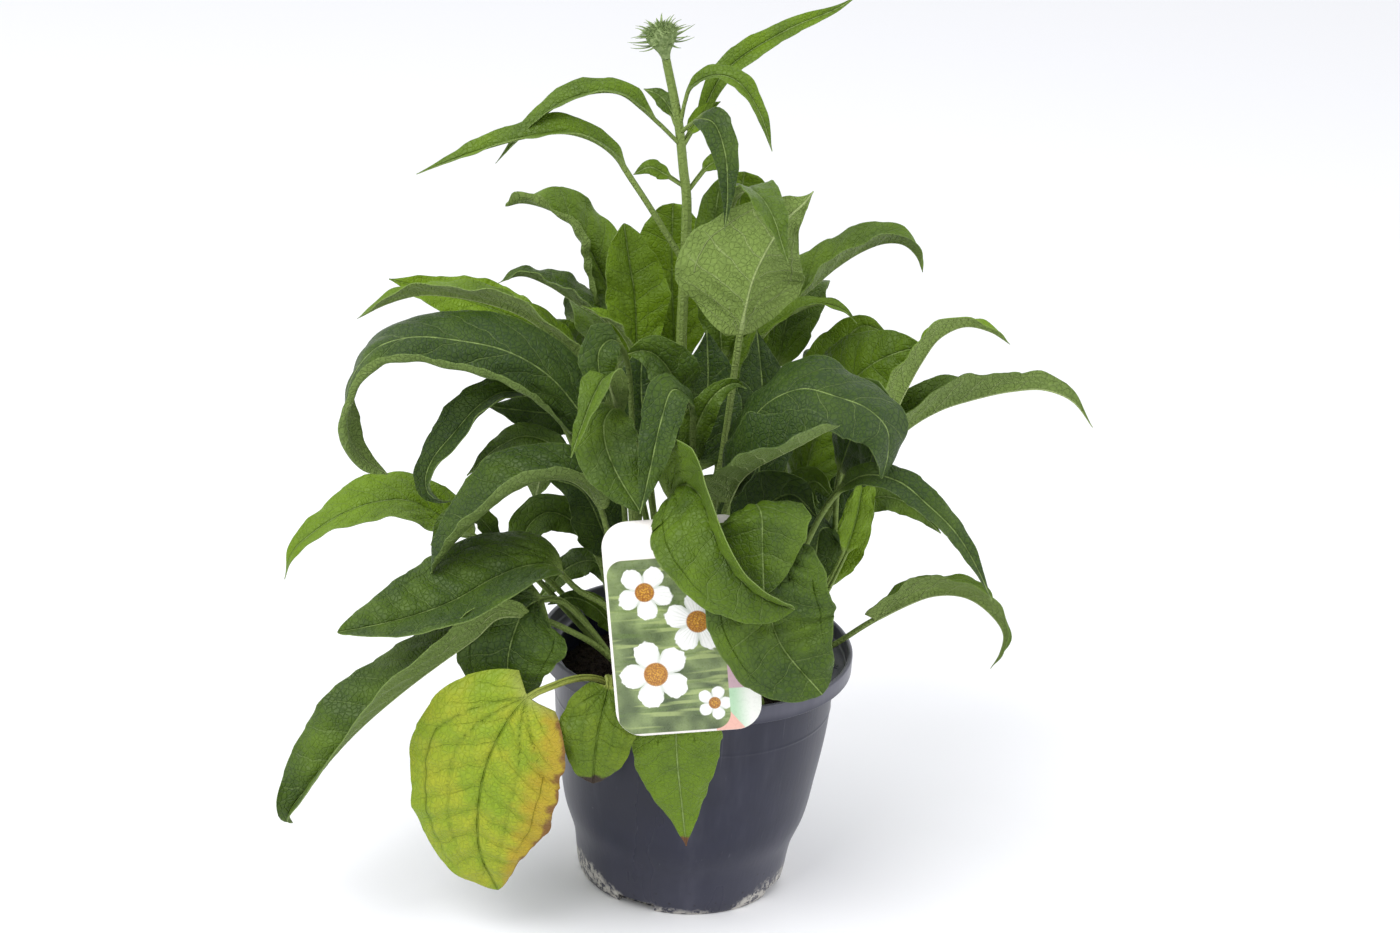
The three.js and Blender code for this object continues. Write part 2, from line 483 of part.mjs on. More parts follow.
// Two old leaves that have turned yellow, each on its own stalk out of the soil.
const OLD_LEAVES = {
  yellow_leaf: { foot: [-30, -56], half: 46, stalk: 4, cup: [8, 4], curl: [-16, -16], heart: 9,
    face: [-0.15, -1, 0.3], widest: 0.38, fullness: 1.2, bends: 5, route: [[-52, -74, 158],
    [-67, -88, 165], [-81, -99, 164], [-93, -107, 160], [-104, -112, 146], [-114, -115, 121],
    [-118, -116, 91], [-116, -113, 61], [-105, -108, 34]] },
  yellow_leaf_small: { foot: [-17, -58], half: 22, stalk: 2.3, cup: [6, 6], heart: 7,
    face: [0, -1, 0.3], widest: 0.42, fullness: 1.1, bends: 3, route: [[-49, -78, 163], [-48, -92, 165],
    [-49, -102, 160], [-52, -109, 144], [-53, -114, 128], [-53, -116, 113]] },
};

// The flowering stem's centre line, and the leaves on it.
const STEM_FOOT = [0, 2];
const STEM_RADII = { foot: 4, top: 2.4 };
const STEM_ROUTE = [[-6, 0, 180], [-15, 0, 258], [-22, 0, 339], [-25, 0, 429], [-28, 0, 446], [-33, 0, 475],
  [-42, 0, 509]];
const STEM_LEAVES = [
  { half: 10, stalk: 1, cup: [35, 35], face: [0, -0.3, 1], route: [[-30, 0, 460], [-46, -8, 476],
    [-67, -12, 491], [-94, -16, 486], [-115, -18, 469], [-133, -20, 447]] },
  { half: 11, stalk: 1.4, cup: [35, 40], face: [0, -0.3, 1], stem: 1, route: [[-24, 0, 392],
    [-55, -14, 440], [-71, -20, 461], [-92, -24, 469], [-113, -26, 466], [-144, -28, 455],
    [-176, -30, 440]] },
  { half: 5, stalk: 0.8, route: [[-26, 0, 436], [-38, -4, 444], [-47, -6, 448], [-56, -6, 443]] },
  { half: 5, stalk: 0.6, route: [[-34, 0, 472], [-38, 4, 480], [-45, 10, 486], [-54, 14, 488]] },
  { half: 7.5, stalk: 0.8, cup: [20, 30], route: [[-30, 0, 458], [-20, 8, 478], [-8, 16, 502],
    [24, 26, 525], [52, 34, 538], [63, 36, 546]] },
  { half: 7, stalk: 0.8, cup: [30, 30], face: [0, -0.5, 1], route: [[-32, 0, 470], [-27, -4, 495],
    [-14, -8, 504], [-1, -12, 502], [12, -16, 487], [21, -20, 466]] },
  { half: 9, stalk: 0.8, cup: [20, 20], widest: 0.25, route: [[-31, 0, 468], [-20, -18, 481],
    [-12, -28, 481], [-5, -36, 467], [-2, -40, 445], [-2, -41, 424]] },
  { half: 5, stalk: 0.6, route: [[-29, 0, 462], [-24, 4, 471], [-18, 8, 480], [-10, 10, 485]] },
  { half: 5, stalk: 0.8, route: [[-26, 0, 432], [-14, 8, 448], [-7, 10, 452], [2, 12, 454]] },
];

const vector = ([x, y, z]) => new THREE.Vector3(x, y, z);

// What a leaf's table row leaves out.
const USUAL_LEAF = {
  cup: [10, 10], curl: [-16, -16], roll: [0, 0], heart: 0, twist: 0, wave: 1.6, widest: 0.38, fullness: 1.8,
  stem: 1,
};

// A leaf from its table row. It grows towards its farthest point from the foot.
function grow(row, foot, seed) {
  const reach = (p) => Math.hypot(p[0] - foot[0], p[1] - foot[1]);
  const farthest = row.route.reduce((best, p) => (reach(p) > reach(best) ? p : best));
  const azimuth = Math.atan2(farthest[1] - foot[1], farthest[0] - foot[0]);
  const route = [vector(foot), ...row.route.map(vector)];
  return leaf({ ...USUAL_LEAF, ...row, route, azimuth, seed, face: vector(row.face) });
}

// ---------------------------------------------------------------- shoots
// The base of a shoot: a tapered peg that stands in the soil.
function stub([x, y], topRadius, footRadius) {
  const geometry = new THREE.CylinderGeometry(topRadius, footRadius, STUB_HEIGHT + STUB_SINK, STUB_SIDES);
  geometry.rotateX(Math.PI / 2);
  geometry.translate(x, y, SOIL_TOP + (STUB_HEIGHT - STUB_SINK) / 2);
  return toSolid(geometry);
}

// A shoot's leaves rise from points round the middle of its stub.
function shoot({ foot: [x, y], radius, face, leaves }, index) {
  const blades = leaves.map((row, i) => {
    const [px, py] = row.route[0];
    const reach = Math.hypot(px - x, py - y) || 1;
    const step = 0.4 * radius;
    const foot = [x + (step * (px - x)) / reach, y + (step * (py - y)) / reach, SOIL_TOP + 1];
    return grow({ face, ...row }, foot, 10 * index + i);
  });
  return mainBody(joined([stub([x, y], 0.75 * radius, radius), ...blades]));
}

// ---------------------------------------------------------------- flowering stem
// A round stem through a route, thinner towards its top.
function taperedStem(route, { foot, top }, sides = 8) {
  const curve = new THREE.CatmullRomCurve3(route.map(vector), false, "centripetal");
  const steps = 12;
  const rings = [];
  for (let i = 0; i <= steps; i++) {
    const middle = curve.getPointAt(i / steps);
    const forward = curve.getTangentAt(i / steps);
    const side = new THREE.Vector3(1, 0, 0).addScaledVector(forward, -forward.x).normalize();
    const up = side.clone().cross(forward);
    const radius = foot + (top - foot) * (i / steps);
    const ring = [];
    for (let k = 0; k < sides; k++) {
      const angle = Math.PI - ((k + 0.5) / sides) * 2 * Math.PI;
      const point = middle.clone().addScaledVector(side, radius * Math.cos(angle));
      ring.push(point.addScaledVector(up, radius * Math.sin(angle)));
    }
    rings.push(ring);
  }
  return toSolid(loft(rings));
}

function floweringStem() {
  const [x, y] = STEM_FOOT;
  const stem = taperedStem([[x, y, SOIL_TOP - STUB_SINK], [x, y, SOIL_TOP], ...STEM_ROUTE], STEM_RADII);
  const blades = STEM_LEAVES.map(({ route: [foot, ...route], stalk, ...row }, i) =>
    grow({ stem: 0.7, wave: 0.8, face: [0, -1, 0.8], ...row, stalk, route }, foot, 100 + i),
  );
  return mainBody(joined([stem, ...blades]));
}

// ---------------------------------------------------------------- flower bud
// A curved, pointed bract with a diamond section. It leaves the head at a height and compass direction,
// heads off at a slope in degrees above the level, and bends by a further turn towards its tip.
function bract({ radius, height, azimuth, slope, turn, length, half, steps = 2 }) {
  const outward = new THREE.Vector3(Math.cos(azimuth), Math.sin(azimuth), 0);
  const side = new THREE.Vector3(Math.sin(azimuth), -Math.cos(azimuth), 0);
  const middle = outward.clone().multiplyScalar(radius).setZ(height);
  const rings = [];
  for (let i = 0; i <= steps; i++) {
    const angle = rad(slope + (turn * i) / steps);
    const forward = outward.clone().multiplyScalar(Math.cos(angle)).setZ(Math.sin(angle));
    const up = side.clone().cross(forward);
    const width = half * (1 - 0.6 * (i / steps));
    const depth = 0.35 * half + 0.25;
    rings.push([
      middle.clone().addScaledVector(side, -width),
      middle.clone().addScaledVector(up, depth),
      middle.clone().addScaledVector(side, width),
      middle.clone().addScaledVector(up, -depth),
    ]);
    middle.addScaledVector(forward, length / steps);
  }
  return toSolid(loft(rings));
}

// The head's outside, from the stem up over the cone, as shares of its radius and height.
const BUD_OUTLINE = [[0, 0], [0.27, 0], [0.36, 0.14], [0.66, 0.3], [0.92, 0.46], [1, 0.6], [0.9, 0.76],
  [0.66, 0.9], [0.32, 0.98], [0, 1]];

function flowerBud() {
  const { radius, height, bracts, scales } = BUD;
  const head = lathe(BUD_OUTLINE.map(([r, z]) => [r * radius, z * height]), 14);
  const whorls = [
    { radius: 7, height: 9.5, slope: -8, turn: 22, length: 13, half: 1.3 },
    { radius: 8, height: 13, slope: 22, turn: -16, length: 12, half: 1.2 },
    { radius: 7, height: 17.5, slope: 48, turn: -30, length: 11, half: 1.1 },
  ];
  const spread = whorls.flatMap((whorl, row) =>
    Array.from({ length: bracts }, (_, i) => {
      const azimuth = (2 * Math.PI * (i + 0.33 * row)) / bracts;
      const vary = draw(7 * i + 31 * row) - 0.5;
      const slope = whorl.slope + 14 * vary;
      return bract({ ...whorl, azimuth, slope, length: whorl.length * (1 + 0.3 * vary) });
    }),
  );
  const golden = Math.PI * (3 - Math.sqrt(5));
  const spikes = Array.from({ length: scales }, (_, i) => {
    const out = Math.sqrt((i + 0.5) / scales);
    return bract({
      radius: 0.72 * radius * out,
      height: height * (0.95 - 0.18 * out * out),
      azimuth: i * golden,
      slope: 88 - 34 * out,
      turn: -12,
      length: 3.6,
      half: 0.9,
      steps: 1,
    });
  });
  return mainBody(joined([head, ...spread, ...spikes]));
}

// ---------------------------------------------------------------- pot and soil
// A body of revolution about Z, from its outline as radius and height.
function lathe(outline, sides) {
  const geometry = new THREE.LatheGeometry(outline.map(([r, z]) => new THREE.Vector2(r, z)), sides);
  geometry.rotateX(Math.PI / 2);
  return toSolid(geometry);
}

function pot() {
  const inner = POT_BELLY.filter(([, z]) => z > POT_FLOOR).map(([r, z]) => [r - POT_WALL, z]).reverse();
  const [shoulder] = POT_BELLY.at(-1);
  const lip = POT_HEIGHT - RIM_BAND;
  const body = lathe(
    [
      [0, 0],
      ...POT_BELLY,
      [shoulder, lip],
      [POT_RIM_RADIUS, lip],
      [POT_RIM_RADIUS, POT_HEIGHT],
      [POT_RIM_RADIUS - RIM_WALL, POT_HEIGHT],
      [POT_RIM_RADIUS - RIM_WALL, lip + POT_WALL],
      [shoulder - POT_WALL, lip + POT_WALL],
      ...inner,
      [POT_BELLY[0][0] - POT_WALL, POT_FLOOR],
      [0, POT_FLOOR],
    ],
    POT_SIDES,
  );
  const notches = Array.from({ length: DRAIN_NOTCHES }, (_, i) => {
    const notch = new THREE.BoxGeometry(NOTCH.depth, NOTCH.width, 2 * NOTCH.height);
    notch.translate(POT_BELLY[0][0], 0, 0);
    notch.rotateZ(rad(FIRST_NOTCH) + (2 * Math.PI * i) / DRAIN_NOTCHES);
    return toSolid(notch);
  });
  return notches.reduce((left, notch) => left.subtract(notch), body);
}

// Potting soil fills the pot to SOIL_TOP, with a plain hole for everything that stands in it.
function soil() {
  const clear = POT_WALL + GAP;
  const bottom = POT_FLOOR + GAP;
  const side = POT_BELLY.filter(([, z]) => z > bottom && z < SOIL_TOP).map(([r, z]) => [r - clear, z]);
  const [top] = side.at(-1);
  const base = POT_BELLY[0][0] - clear;
  const fill = lathe([[0, bottom], [base, bottom], ...side, [top, SOIL_TOP], [0, SOIL_TOP]], POT_SIDES);
  const drills = [
    ...Object.values(SHOOTS).map(({ foot, radius }) => hole(foot, radius)),
    ...Object.values(OLD_LEAVES).map(({ foot }) => hole(foot, OLD_STALK_RADIUS)),
    hole(STEM_FOOT, STEM_RADII.foot + 1),
    tongue(GAP),
  ];
  return drills.reduce((left, drill) => left.subtract(drill), fill);
}

function hole([x, y], radius) {
  const clear = radius + 3 * GAP;
  const geometry = new THREE.CylinderGeometry(clear, clear, 2 * STUB_SINK + 2, STUB_SIDES);
  geometry.rotateX(Math.PI / 2);
  geometry.translate(x, y, SOIL_TOP);
  return toSolid(geometry);
}

// ---------------------------------------------------------------- old leaves
function oldLeaf({ foot, ...row }, seed) {
  const blade = grow(row, [...foot, SOIL_TOP + 1], seed);
  return mainBody(stub(foot, OLD_STALK_RADIUS - 1, OLD_STALK_RADIUS).add(blade));
}

// ---------------------------------------------------------------- plant tag
function roundedCard({ width, height, corner, thickness }) {
  const shape = new THREE.Shape();
  const x = width / 2 - corner;
  const y = height / 2 - corner;
  shape.absarc(x, y, corner, 0, Math.PI / 2);
  shape.absarc(-x, y, corner, Math.PI / 2, Math.PI);
  shape.absarc(-x, -y, corner, Math.PI, 1.5 * Math.PI);
  shape.absarc(x, -y, corner, 1.5 * Math.PI, 2 * Math.PI);
  const options = { depth: thickness, bevelEnabled: false, curveSegments: 5 };
  return new THREE.ExtrudeGeometry(shape, options).translate(0, 0, -thickness / 2);
}

// The tongue as a flat bar between its two ends, grown by a margin when it drills its slot in the soil.
function tongue(margin = 0) {
  const top = vector(TONGUE.top);
  const tip = vector(TONGUE.tip);
  const length = top.distanceTo(tip);
  const grown = (size) => size + 2 * margin;
  const bar = new THREE.BoxGeometry(grown(TONGUE.width), grown(TAG.thickness), grown(length));
  const direction = top.clone().sub(tip).normalize();
  bar.applyQuaternion(new THREE.Quaternion().setFromUnitVectors(new THREE.Vector3(0, 0, 1), direction));
  const middle = top.add(tip).multiplyScalar(0.5);
  return toSolid(bar.translate(middle.x, middle.y, middle.z));
}

function plantTag() {
  const card = roundedCard(TAG);
  card.rotateZ(rad(TAG.lean));
  card.rotateX(rad(90 - TAG.tilt));
  card.translate(...TAG.centre);
  return mainBody(toSolid(card).add(tongue()));
}

// ---------------------------------------------------------------- the object
const FINISHES = {
  leaf: { color: 0x3f6d22, roughness: 0.5, metalness: 0 },
  stem: { color: 0x7c9a3c, roughness: 0.5, metalness: 0 },
  bud: { color: 0x6f9146, roughness: 0.7, metalness: 0 },
  yellow: { color: 0xb0b31a, roughness: 0.5, metalness: 0 },
  pot: { color: 0x30323c, roughness: 0.55, metalness: 0 },
  soil: { color: 0x1a1512, roughness: 1, metalness: 0 },
  tag: { color: 0xece7e0, roughness: 0.35, metalness: 0 },
};

const group = new THREE.Group();

function place(name, solid, finish) {
  const mesh = new THREE.Mesh(toGeometry(solid), new THREE.MeshStandardMaterial(FINISHES[finish]));
  mesh.name = name;
  group.add(mesh);
  return mesh;
}

place("nursery_pot", pot(), "pot");
place("potting_soil", soil(), "soil");
Object.entries(SHOOTS).forEach(([side, rows], i) => place(`leafy_shoot_${side}`, shoot(rows, i), "leaf"));
Object.entries(OLD_LEAVES).forEach(([name, row], i) => place(name, oldLeaf(row, 200 + i), "yellow"));
place("flower_stem", floweringStem(), "stem");

const bud = place("flower_bud", flowerBud(), "bud");
const stemTop = vector(STEM_ROUTE.at(-1));
const stemEnd = stemTop.clone().sub(vector(STEM_ROUTE.at(-2))).normalize();
bud.position.copy(stemTop).addScaledVector(stemEnd, GAP);
bud.quaternion.setFromUnitVectors(new THREE.Vector3(0, 0, 1), stemEnd);

place("plant_tag", plantTag(), "tag");

export default group;
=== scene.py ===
# %% [markdown]
# # A potted coneflower, dressed
#
# The plant stands in its nursery pot: basal leaves on long stalks, one flowering stem with a green bud, two
# old yellow leaves that hang over the rim, and a plant tag. The packed solids give every piece its place and
# size. This script leaves them where they are and puts finer pieces in their stead.
#
# We start by loading the solids as a fixed frame.

# %% Load the fixed frame
import math
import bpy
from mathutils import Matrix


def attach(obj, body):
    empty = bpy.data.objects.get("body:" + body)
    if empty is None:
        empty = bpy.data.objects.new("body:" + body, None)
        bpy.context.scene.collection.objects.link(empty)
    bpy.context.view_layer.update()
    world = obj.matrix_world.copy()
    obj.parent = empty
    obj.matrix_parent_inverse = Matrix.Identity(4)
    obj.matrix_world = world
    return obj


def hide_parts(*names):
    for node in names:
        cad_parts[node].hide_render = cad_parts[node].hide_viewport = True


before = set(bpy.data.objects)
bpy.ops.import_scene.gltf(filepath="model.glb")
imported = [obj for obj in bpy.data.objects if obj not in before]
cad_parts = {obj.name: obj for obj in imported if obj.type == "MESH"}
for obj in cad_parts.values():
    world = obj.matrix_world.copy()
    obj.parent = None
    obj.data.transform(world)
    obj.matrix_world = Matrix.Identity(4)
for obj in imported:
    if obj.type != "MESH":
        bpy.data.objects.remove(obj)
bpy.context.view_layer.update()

from types import SimpleNamespace

import bmesh
import bpy
import numpy as np
from mathutils import Matrix, Vector

MM = 0.001

# %% [markdown]
# ## Camera
#
# A camera can be aimed by hand, but a long lens on a plant is easier to set by numbers: where it stands, how
# far it looks down, and how far it leans about its own axis. The lens is long, so the pot's rim is a flat
# ellipse and the leaves keep their sizes from front to back.

# %% The camera
CAMERA_PLACE = (0.0, -1.45244, 0.82612)
CAMERA_YAW, CAMERA_DOWN, CAMERA_LEAN = (math.radians(a) for a in (-0.238, 21.049, 4.3))
LENS, SENSOR = 67.55, 36.0


def stand(name, data):
    """A new object in the scene."""
    thing = bpy.data.objects.new(name, data)
    bpy.context.scene.collection.objects.link(thing)
    return thing


def stand_camera():
    data = bpy.data.cameras.new("camera")
    data.lens, data.sensor_width = LENS, SENSOR
    camera = stand("camera", data)
    level, down = math.cos(CAMERA_DOWN), math.sin(CAMERA_DOWN)
    forward = Vector((math.sin(CAMERA_YAW) * level, math.cos(CAMERA_YAW) * level, -down))
    right = forward.cross(Vector((0, 0, 1))).normalized()
    up = right.cross(forward)
    cos, sin = math.cos(CAMERA_LEAN), math.sin(CAMERA_LEAN)
    turn = Matrix((right * cos + up * sin, up * cos - right * sin, -forward)).transposed()
    camera.matrix_world = Matrix.Translation(CAMERA_PLACE) @ turn.to_4x4()
    bpy.context.scene.camera = camera
    return camera


print("camera lens", stand_camera().data.lens, "mm")

# %% [markdown]
# ## A helper for nodes
#
# A finish is a small tree of nodes, and so is a rule that grows hairs or crumbs. Written out one node at a
# time a tree takes pages. This helper adds a node in one line and hands back its output as a wire. A wire
# takes part in sums like a number, and each sum becomes a Math node, so `height * 0.5 + grain` reads as it is
# meant.

# %% Boards and wires
class Wire:
    """One output of a node. Sums with it are written as with numbers, and each adds a Math node."""

    def __init__(self, board, socket):
        self.board, self.socket = board, socket

    def other(self, output):
        """Another output of the same node."""
        return Wire(self.board, self.socket.node.outputs[output])

    def __abs__(self):
        return self.board.calc("ABSOLUTE", self)


SUMS = {"add": "ADD", "sub": "SUBTRACT", "mul": "MULTIPLY", "truediv": "DIVIDE", "pow": "POWER"}
for sign, operation in SUMS.items():
    setattr(Wire, f"__{sign}__", lambda wire, value, kind=operation: wire.board.calc(kind, wire, value))
    setattr(Wire, f"__r{sign}__", lambda wire, value, kind=operation: wire.board.calc(kind, value, wire))


class Board:
    """A tree of nodes and the helpers that add to it."""

    def __init__(self, tree):
        self.nodes, self.links = tree.nodes, tree.links

    def put(self, socket, value):
        """Joins a wire to a socket, or writes a plain value into it."""
        if isinstance(value, Wire):
            self.links.new(value.socket, socket)
        elif socket.type == "RGBA" and len(value) == 3:
            socket.default_value = (*value, 1)
        else:
            socket.default_value = value

    def node(self, kind, output=0, inputs=(), **settings):
        """Adds a node, fills its inputs in order or by name, and hands back one output."""
        node = self.nodes.new(kind)
        for key, value in settings.items():
            setattr(node, key, value)
        for socket, value in inputs.items() if isinstance(inputs, dict) else enumerate(inputs):
            self.put(node.inputs[socket], value)
        return Wire(self, node.outputs[output])

    def calc(self, operation, *values):
        return self.node("ShaderNodeMath", 0, values, operation=operation)

    def split(self, vector):
        x = self.node("ShaderNodeSeparateXYZ", 0, [vector])
        return x, x.other(1), x.other(2)


print("a wire knows how to", ", ".join(kind.lower() for kind in SUMS.values()))

# %% [markdown]
# ## Mixing a finish
#
# On top of that, a finish needs a few nodes of its own: `blend` mixes two colours, `coats` lays several over
# each other, `fade` turns a range of values into 0 to 1, `grain` is noise and `cells` are the walls or the
# middles of random cells. The shader's own sockets hold what is the same all over a piece.

# %% A helper that mixes finishes
def rgb(red, green, blue):
    """A colour as it looks on a screen, 0 to 255, turned into the linear light that shaders use."""
    shares = [c / 255 for c in (red, green, blue)]
    return tuple(s / 12.92 if s <= 0.04045 else ((s + 0.055) / 1.055) ** 2.4 for s in shares)


class Finish(Board):
    def __init__(self, name, rough, specular):
        self.material = bpy.data.materials.new(name)
        self.material.use_nodes = True
        super().__init__(self.material.node_tree)
        self.shader = self.nodes["Principled BSDF"]
        self.wear(Roughness=rough, Specular_IOR_Level=specular)

    def wear(self, **sockets):
        """Fills the shader's own sockets."""
        for name, value in sockets.items():
            self.put(self.shader.inputs[name.replace("_", " ")], value)
        return self.material

    def blend(self, share, first, second, way="MIX"):
        inputs = {0: share, 6: first, 7: second}
        return self.node("ShaderNodeMix", 2, inputs, data_type="RGBA", blend_type=way)

    def coats(self, colour, *coats):
        """Lays coats over a colour. Each is a share of cover and a colour."""
        for share, coat in coats:
            colour = self.blend(share, colour, coat)
        return colour

    def fade(self, value, low, high, out_low=0.0, out_high=1.0):
        return self.node("ShaderNodeMapRange", 0, (value, low, high, out_low, out_high),
                         interpolation_type="SMOOTHSTEP")

    def fade_out(self, value, low, high):
        return self.fade(value, low, high, 1.0, 0.0)

    def grain(self, place, scale, detail=2.0, rough=0.5):
        inputs = dict(Vector=place, Scale=scale, Detail=detail, Roughness=rough)
        return self.node("ShaderNodeTexNoise", 0, inputs)

    def cells(self, place, scale, feature="F1"):
        return self.node("ShaderNodeTexVoronoi", "Distance", dict(Vector=place, Scale=scale), feature=feature)

    def stretch(self, place, scale, turn=(0, 0, 0)):
        return self.node("ShaderNodeMapping", 0, dict(Vector=place, Scale=scale, Rotation=turn))

    def mark(self, name, output="Vector"):
        return self.node("ShaderNodeAttribute", output, attribute_name=name)

    def place(self):
        return self.node("ShaderNodeTexCoord", "Object")

    def most(self, *values):
        """The largest of some values, as where several lines meet."""
        largest = values[-1]
        for value in values[-2::-1]:
            largest = self.calc("MAXIMUM", value, largest)
        return largest

    def distance(self, u, v):
        return self.calc("SQRT", u * u + v * v)

    def bump(self, height, depth):
        return self.node("ShaderNodeBump", 0, dict(Height=height, Distance=depth, Strength=1.0))


def plain_colour(name, colour, rough):
    return Finish(name, rough, 0.5).wear(Base_Color=colour)


print("helper ready:", [n for n in vars(Finish) if not n.startswith("_")])

# %% [markdown]
# ## Soft studio
#
# Leaves look best in light that comes from everywhere, as under a white tent: a bright world, one large lamp
# above the left shoulder that gives each leaf a lit and a shaded side, and a weaker one from the right. An
# even white world puts a milky veil on everything that faces the camera, so it is darker on the camera's
# side, as a room is behind the lamps. The floor is a plain pale sheet. It is staged, so it isn't part of the
# object.

# %% Floor, world and lamps
FLOOR_SIDE, FLOOR_WHITE = 14.0, (0.9, 0.9, 0.92)
TENT_WHITE = (0.97, 0.98, 1.0)
LIGHT_IN_FRONT, LIGHT_BEHIND = 0.38, 1.22
LAMPS = {
    # name: place, size across, watts
    "lamp_above_left": ((-1.3, -1.5, 2.4), 1.8, 62.0),
    "lamp_right": ((2.0, -0.9, 1.2), 1.6, 16.0),
}
LAMPS_AIM = Vector((0, 0, 0.25))


def lay_floor():
    half = FLOOR_SIDE / 2
    mesh = bpy.data.meshes.new("floor")
    corners = [(-half, -half, 0), (half, -half, 0), (half, half, 0), (-half, half, 0)]
    mesh.from_pydata(corners, [], [(0, 1, 2, 3)])
    mesh.materials.append(plain_colour("floor_paper", FLOOR_WHITE, 0.9))
    stand("floor", mesh)


def pitch_tent():
    world = bpy.data.worlds.new("white_tent")
    world.use_nodes = True
    board, glow = Board(world.node_tree), world.node_tree.nodes["Background"]
    _, backwards, _ = board.split(board.node("ShaderNodeTexCoord", "Generated"))
    board.put(glow.inputs["Color"], TENT_WHITE)
    board.put(glow.inputs["Strength"],
              board.node("ShaderNodeMapRange", 0, (backwards, -0.9, 0.3, LIGHT_IN_FRONT, LIGHT_BEHIND)))
    bpy.context.scene.world = world


def hang_lamps():
    for name, (place, size, watts) in LAMPS.items():
        data = bpy.data.lights.new(name, "AREA")
        data.size, data.energy = size, watts
        lamp = stand(name, data)
        lamp.location = place
        lamp.rotation_euler = (LAMPS_AIM - Vector(place)).to_track_quat("-Z", "Y").to_euler()


lay_floor()
pitch_tent()
hang_lamps()
bpy.context.scene.view_settings.view_transform = "Standard"
print("floor", FLOOR_SIDE, "m across,", len(LAMPS), "lamps")

# %% [markdown]
# ## A path through points
#
# Stalks, midribs and the stem each follow a few points. Blender has curve objects for that, but here the same
# smooth path as in the solids is wanted, so it is worked out in numbers: a centripetal Catmull-Rom spline,
# which passes through every point and doesn't loop between close ones.

# %% Smooth paths
FINE = 24  # steps between two of a path's points


def unit(v):
    return v / np.maximum(np.linalg.norm(v, axis=-1, keepdims=True), 1e-9)


def smooth_path(points):
    """The path's fine points, its length so far at each, and its directions."""
    p = np.array(points, float)
    p = np.vstack([2 * p[0] - p[1], p, 2 * p[-1] - p[-2]])
    share = np.linspace(0, 1, FINE, endpoint=False)[:, None]
    runs = []
    for a, b, c, d in zip(p, p[1:], p[2:], p[3:]):
        gap = [max(np.sum((u - v) ** 2), 1e-8) ** 0.25 for u, v in ((a, b), (b, c), (c, d))]
        leave = ((b - a) / gap[0] - (c - a) / (gap[0] + gap[1]) + (c - b) / gap[1]) * gap[1]
        reach = ((c - b) / gap[1] - (d - b) / (gap[1] + gap[2]) + (d - c) / gap[2]) * gap[1]
        runs.append(b + share * leave + share**2 * (3 * (c - b) - 2 * leave - reach)
                    + share**3 * (2 * (b - c) + leave + reach))
    fine = np.vstack([*runs, p[-2:-1]])
    so_far = np.concatenate([[0], np.cumsum(np.linalg.norm(np.diff(fine, axis=0), axis=1))])
    return fine, so_far, unit(np.gradient(fine, axis=0))


def layered(*values):
    """Values stretched to one shape and laid side by side, such as x, y and z."""
    return np.stack(np.broadcast_arrays(*values), -1)


def between(at, known, values):
    """Rows of three numbers, read off between known rows."""
    return layered(*(np.interp(at, known, column) for column in values.T))


def along(path, shares):
    """Places and directions at shares of a path's length."""
    fine, so_far, ahead = path
    at = np.asarray(shares) * so_far[-1]
    return between(at, so_far, fine), unit(between(at, so_far, ahead))


def turned(vector, axis, angle):
    """Vectors turned about axes, as a leaf's blade turns about its midrib."""
    cos, sin = np.cos(angle)[..., None], np.sin(angle)[..., None]
    along_axis = axis * np.sum(axis * vector, -1, keepdims=True)
    return vector * cos + np.cross(axis, vector) * sin + along_axis * (1 - cos)


print("a bent path is", round(smooth_path([(0, 0, 0), (30, 0, 40), (60, 0, 40)])[1][-1], 1), "mm long")

# %% [markdown]
# ## The leaf's form
#
# A coneflower's leaf is a stalk with a channel on top that opens into a lance-shaped blade with a few teeth.
# The midrib and two pairs of long veins lie sunk in the upper face and stand out under the lower one, and the
# blade bulges a little between its veins. One rule makes them all: each leaf has a route for its midrib, half
# a width, and a few numbers for how it is folded, turned and waved. Rows of points are laid across the route
# and their upper and lower faces are joined round the edge, so that each leaf is a closed thin body.
#
# A plane bent by a curve modifier would be quicker to set up, but it can't turn its face to the light, widen
# from a round stalk or carry the veins' marks, which the finish needs later.

# %% The leaf's proportions, in millimetres
STALK_HALF_WIDTH, STALK_THICKNESS = 2.1, 3.4
BLADE_THICKNESS = 0.55
RIB_DEPTH = 1.3  # how far the midrib stands out below, near the stalk
TOOTH_PITCH, TOOTH_DEPTH = 13.0, 1.25
SIDE_VEIN_PITCH = 15.0
LOBE_REACH = 0.35  # how far along the blade its base lobes still show
ROLL_FROM = 0.55  # how far out an edge starts to roll, as a share of the half width
LONG_VEINS = (0.42, 0.76)  # how far out the two pairs of long veins run, as shares of the half width
FRAME_STEPS = 64
ROW_GAP, STALK_ROW_GAP = 1.9, 6.0
HALF_COLUMNS = ((30, 24), (15, 13), (8, 9), (0, 6))  # past a half width, the columns in each half of a blade
USUAL = dict(cup=(10, 10), curl=(-16, -16), roll=(0, 0), heart=0, twist=0, wave=1.6, widest=0.38,
             fullness=1.8, stem=1, withered=0, quilt=1)


def draw(seed):
    """A repeatable draw between 0 and 1."""
    x = np.sin(np.asarray(seed, float) * 127.1 + 311.7) * 43758.5453
    return x - np.floor(x)


def clip01(value, least=0.0):
    return np.clip(value, least, 1)


print("a leaf's edge steps in by up to", TOOTH_DEPTH, "mm behind a tooth")

# %% The outline of a blade
def outline(t, widest, fullness):
    """Half width of a blade from its base to its tip, as a share of the widest."""
    return (t / widest) ** (widest * fullness) * ((1 - t) / (1 - widest)) ** ((1 - widest) * fullness)


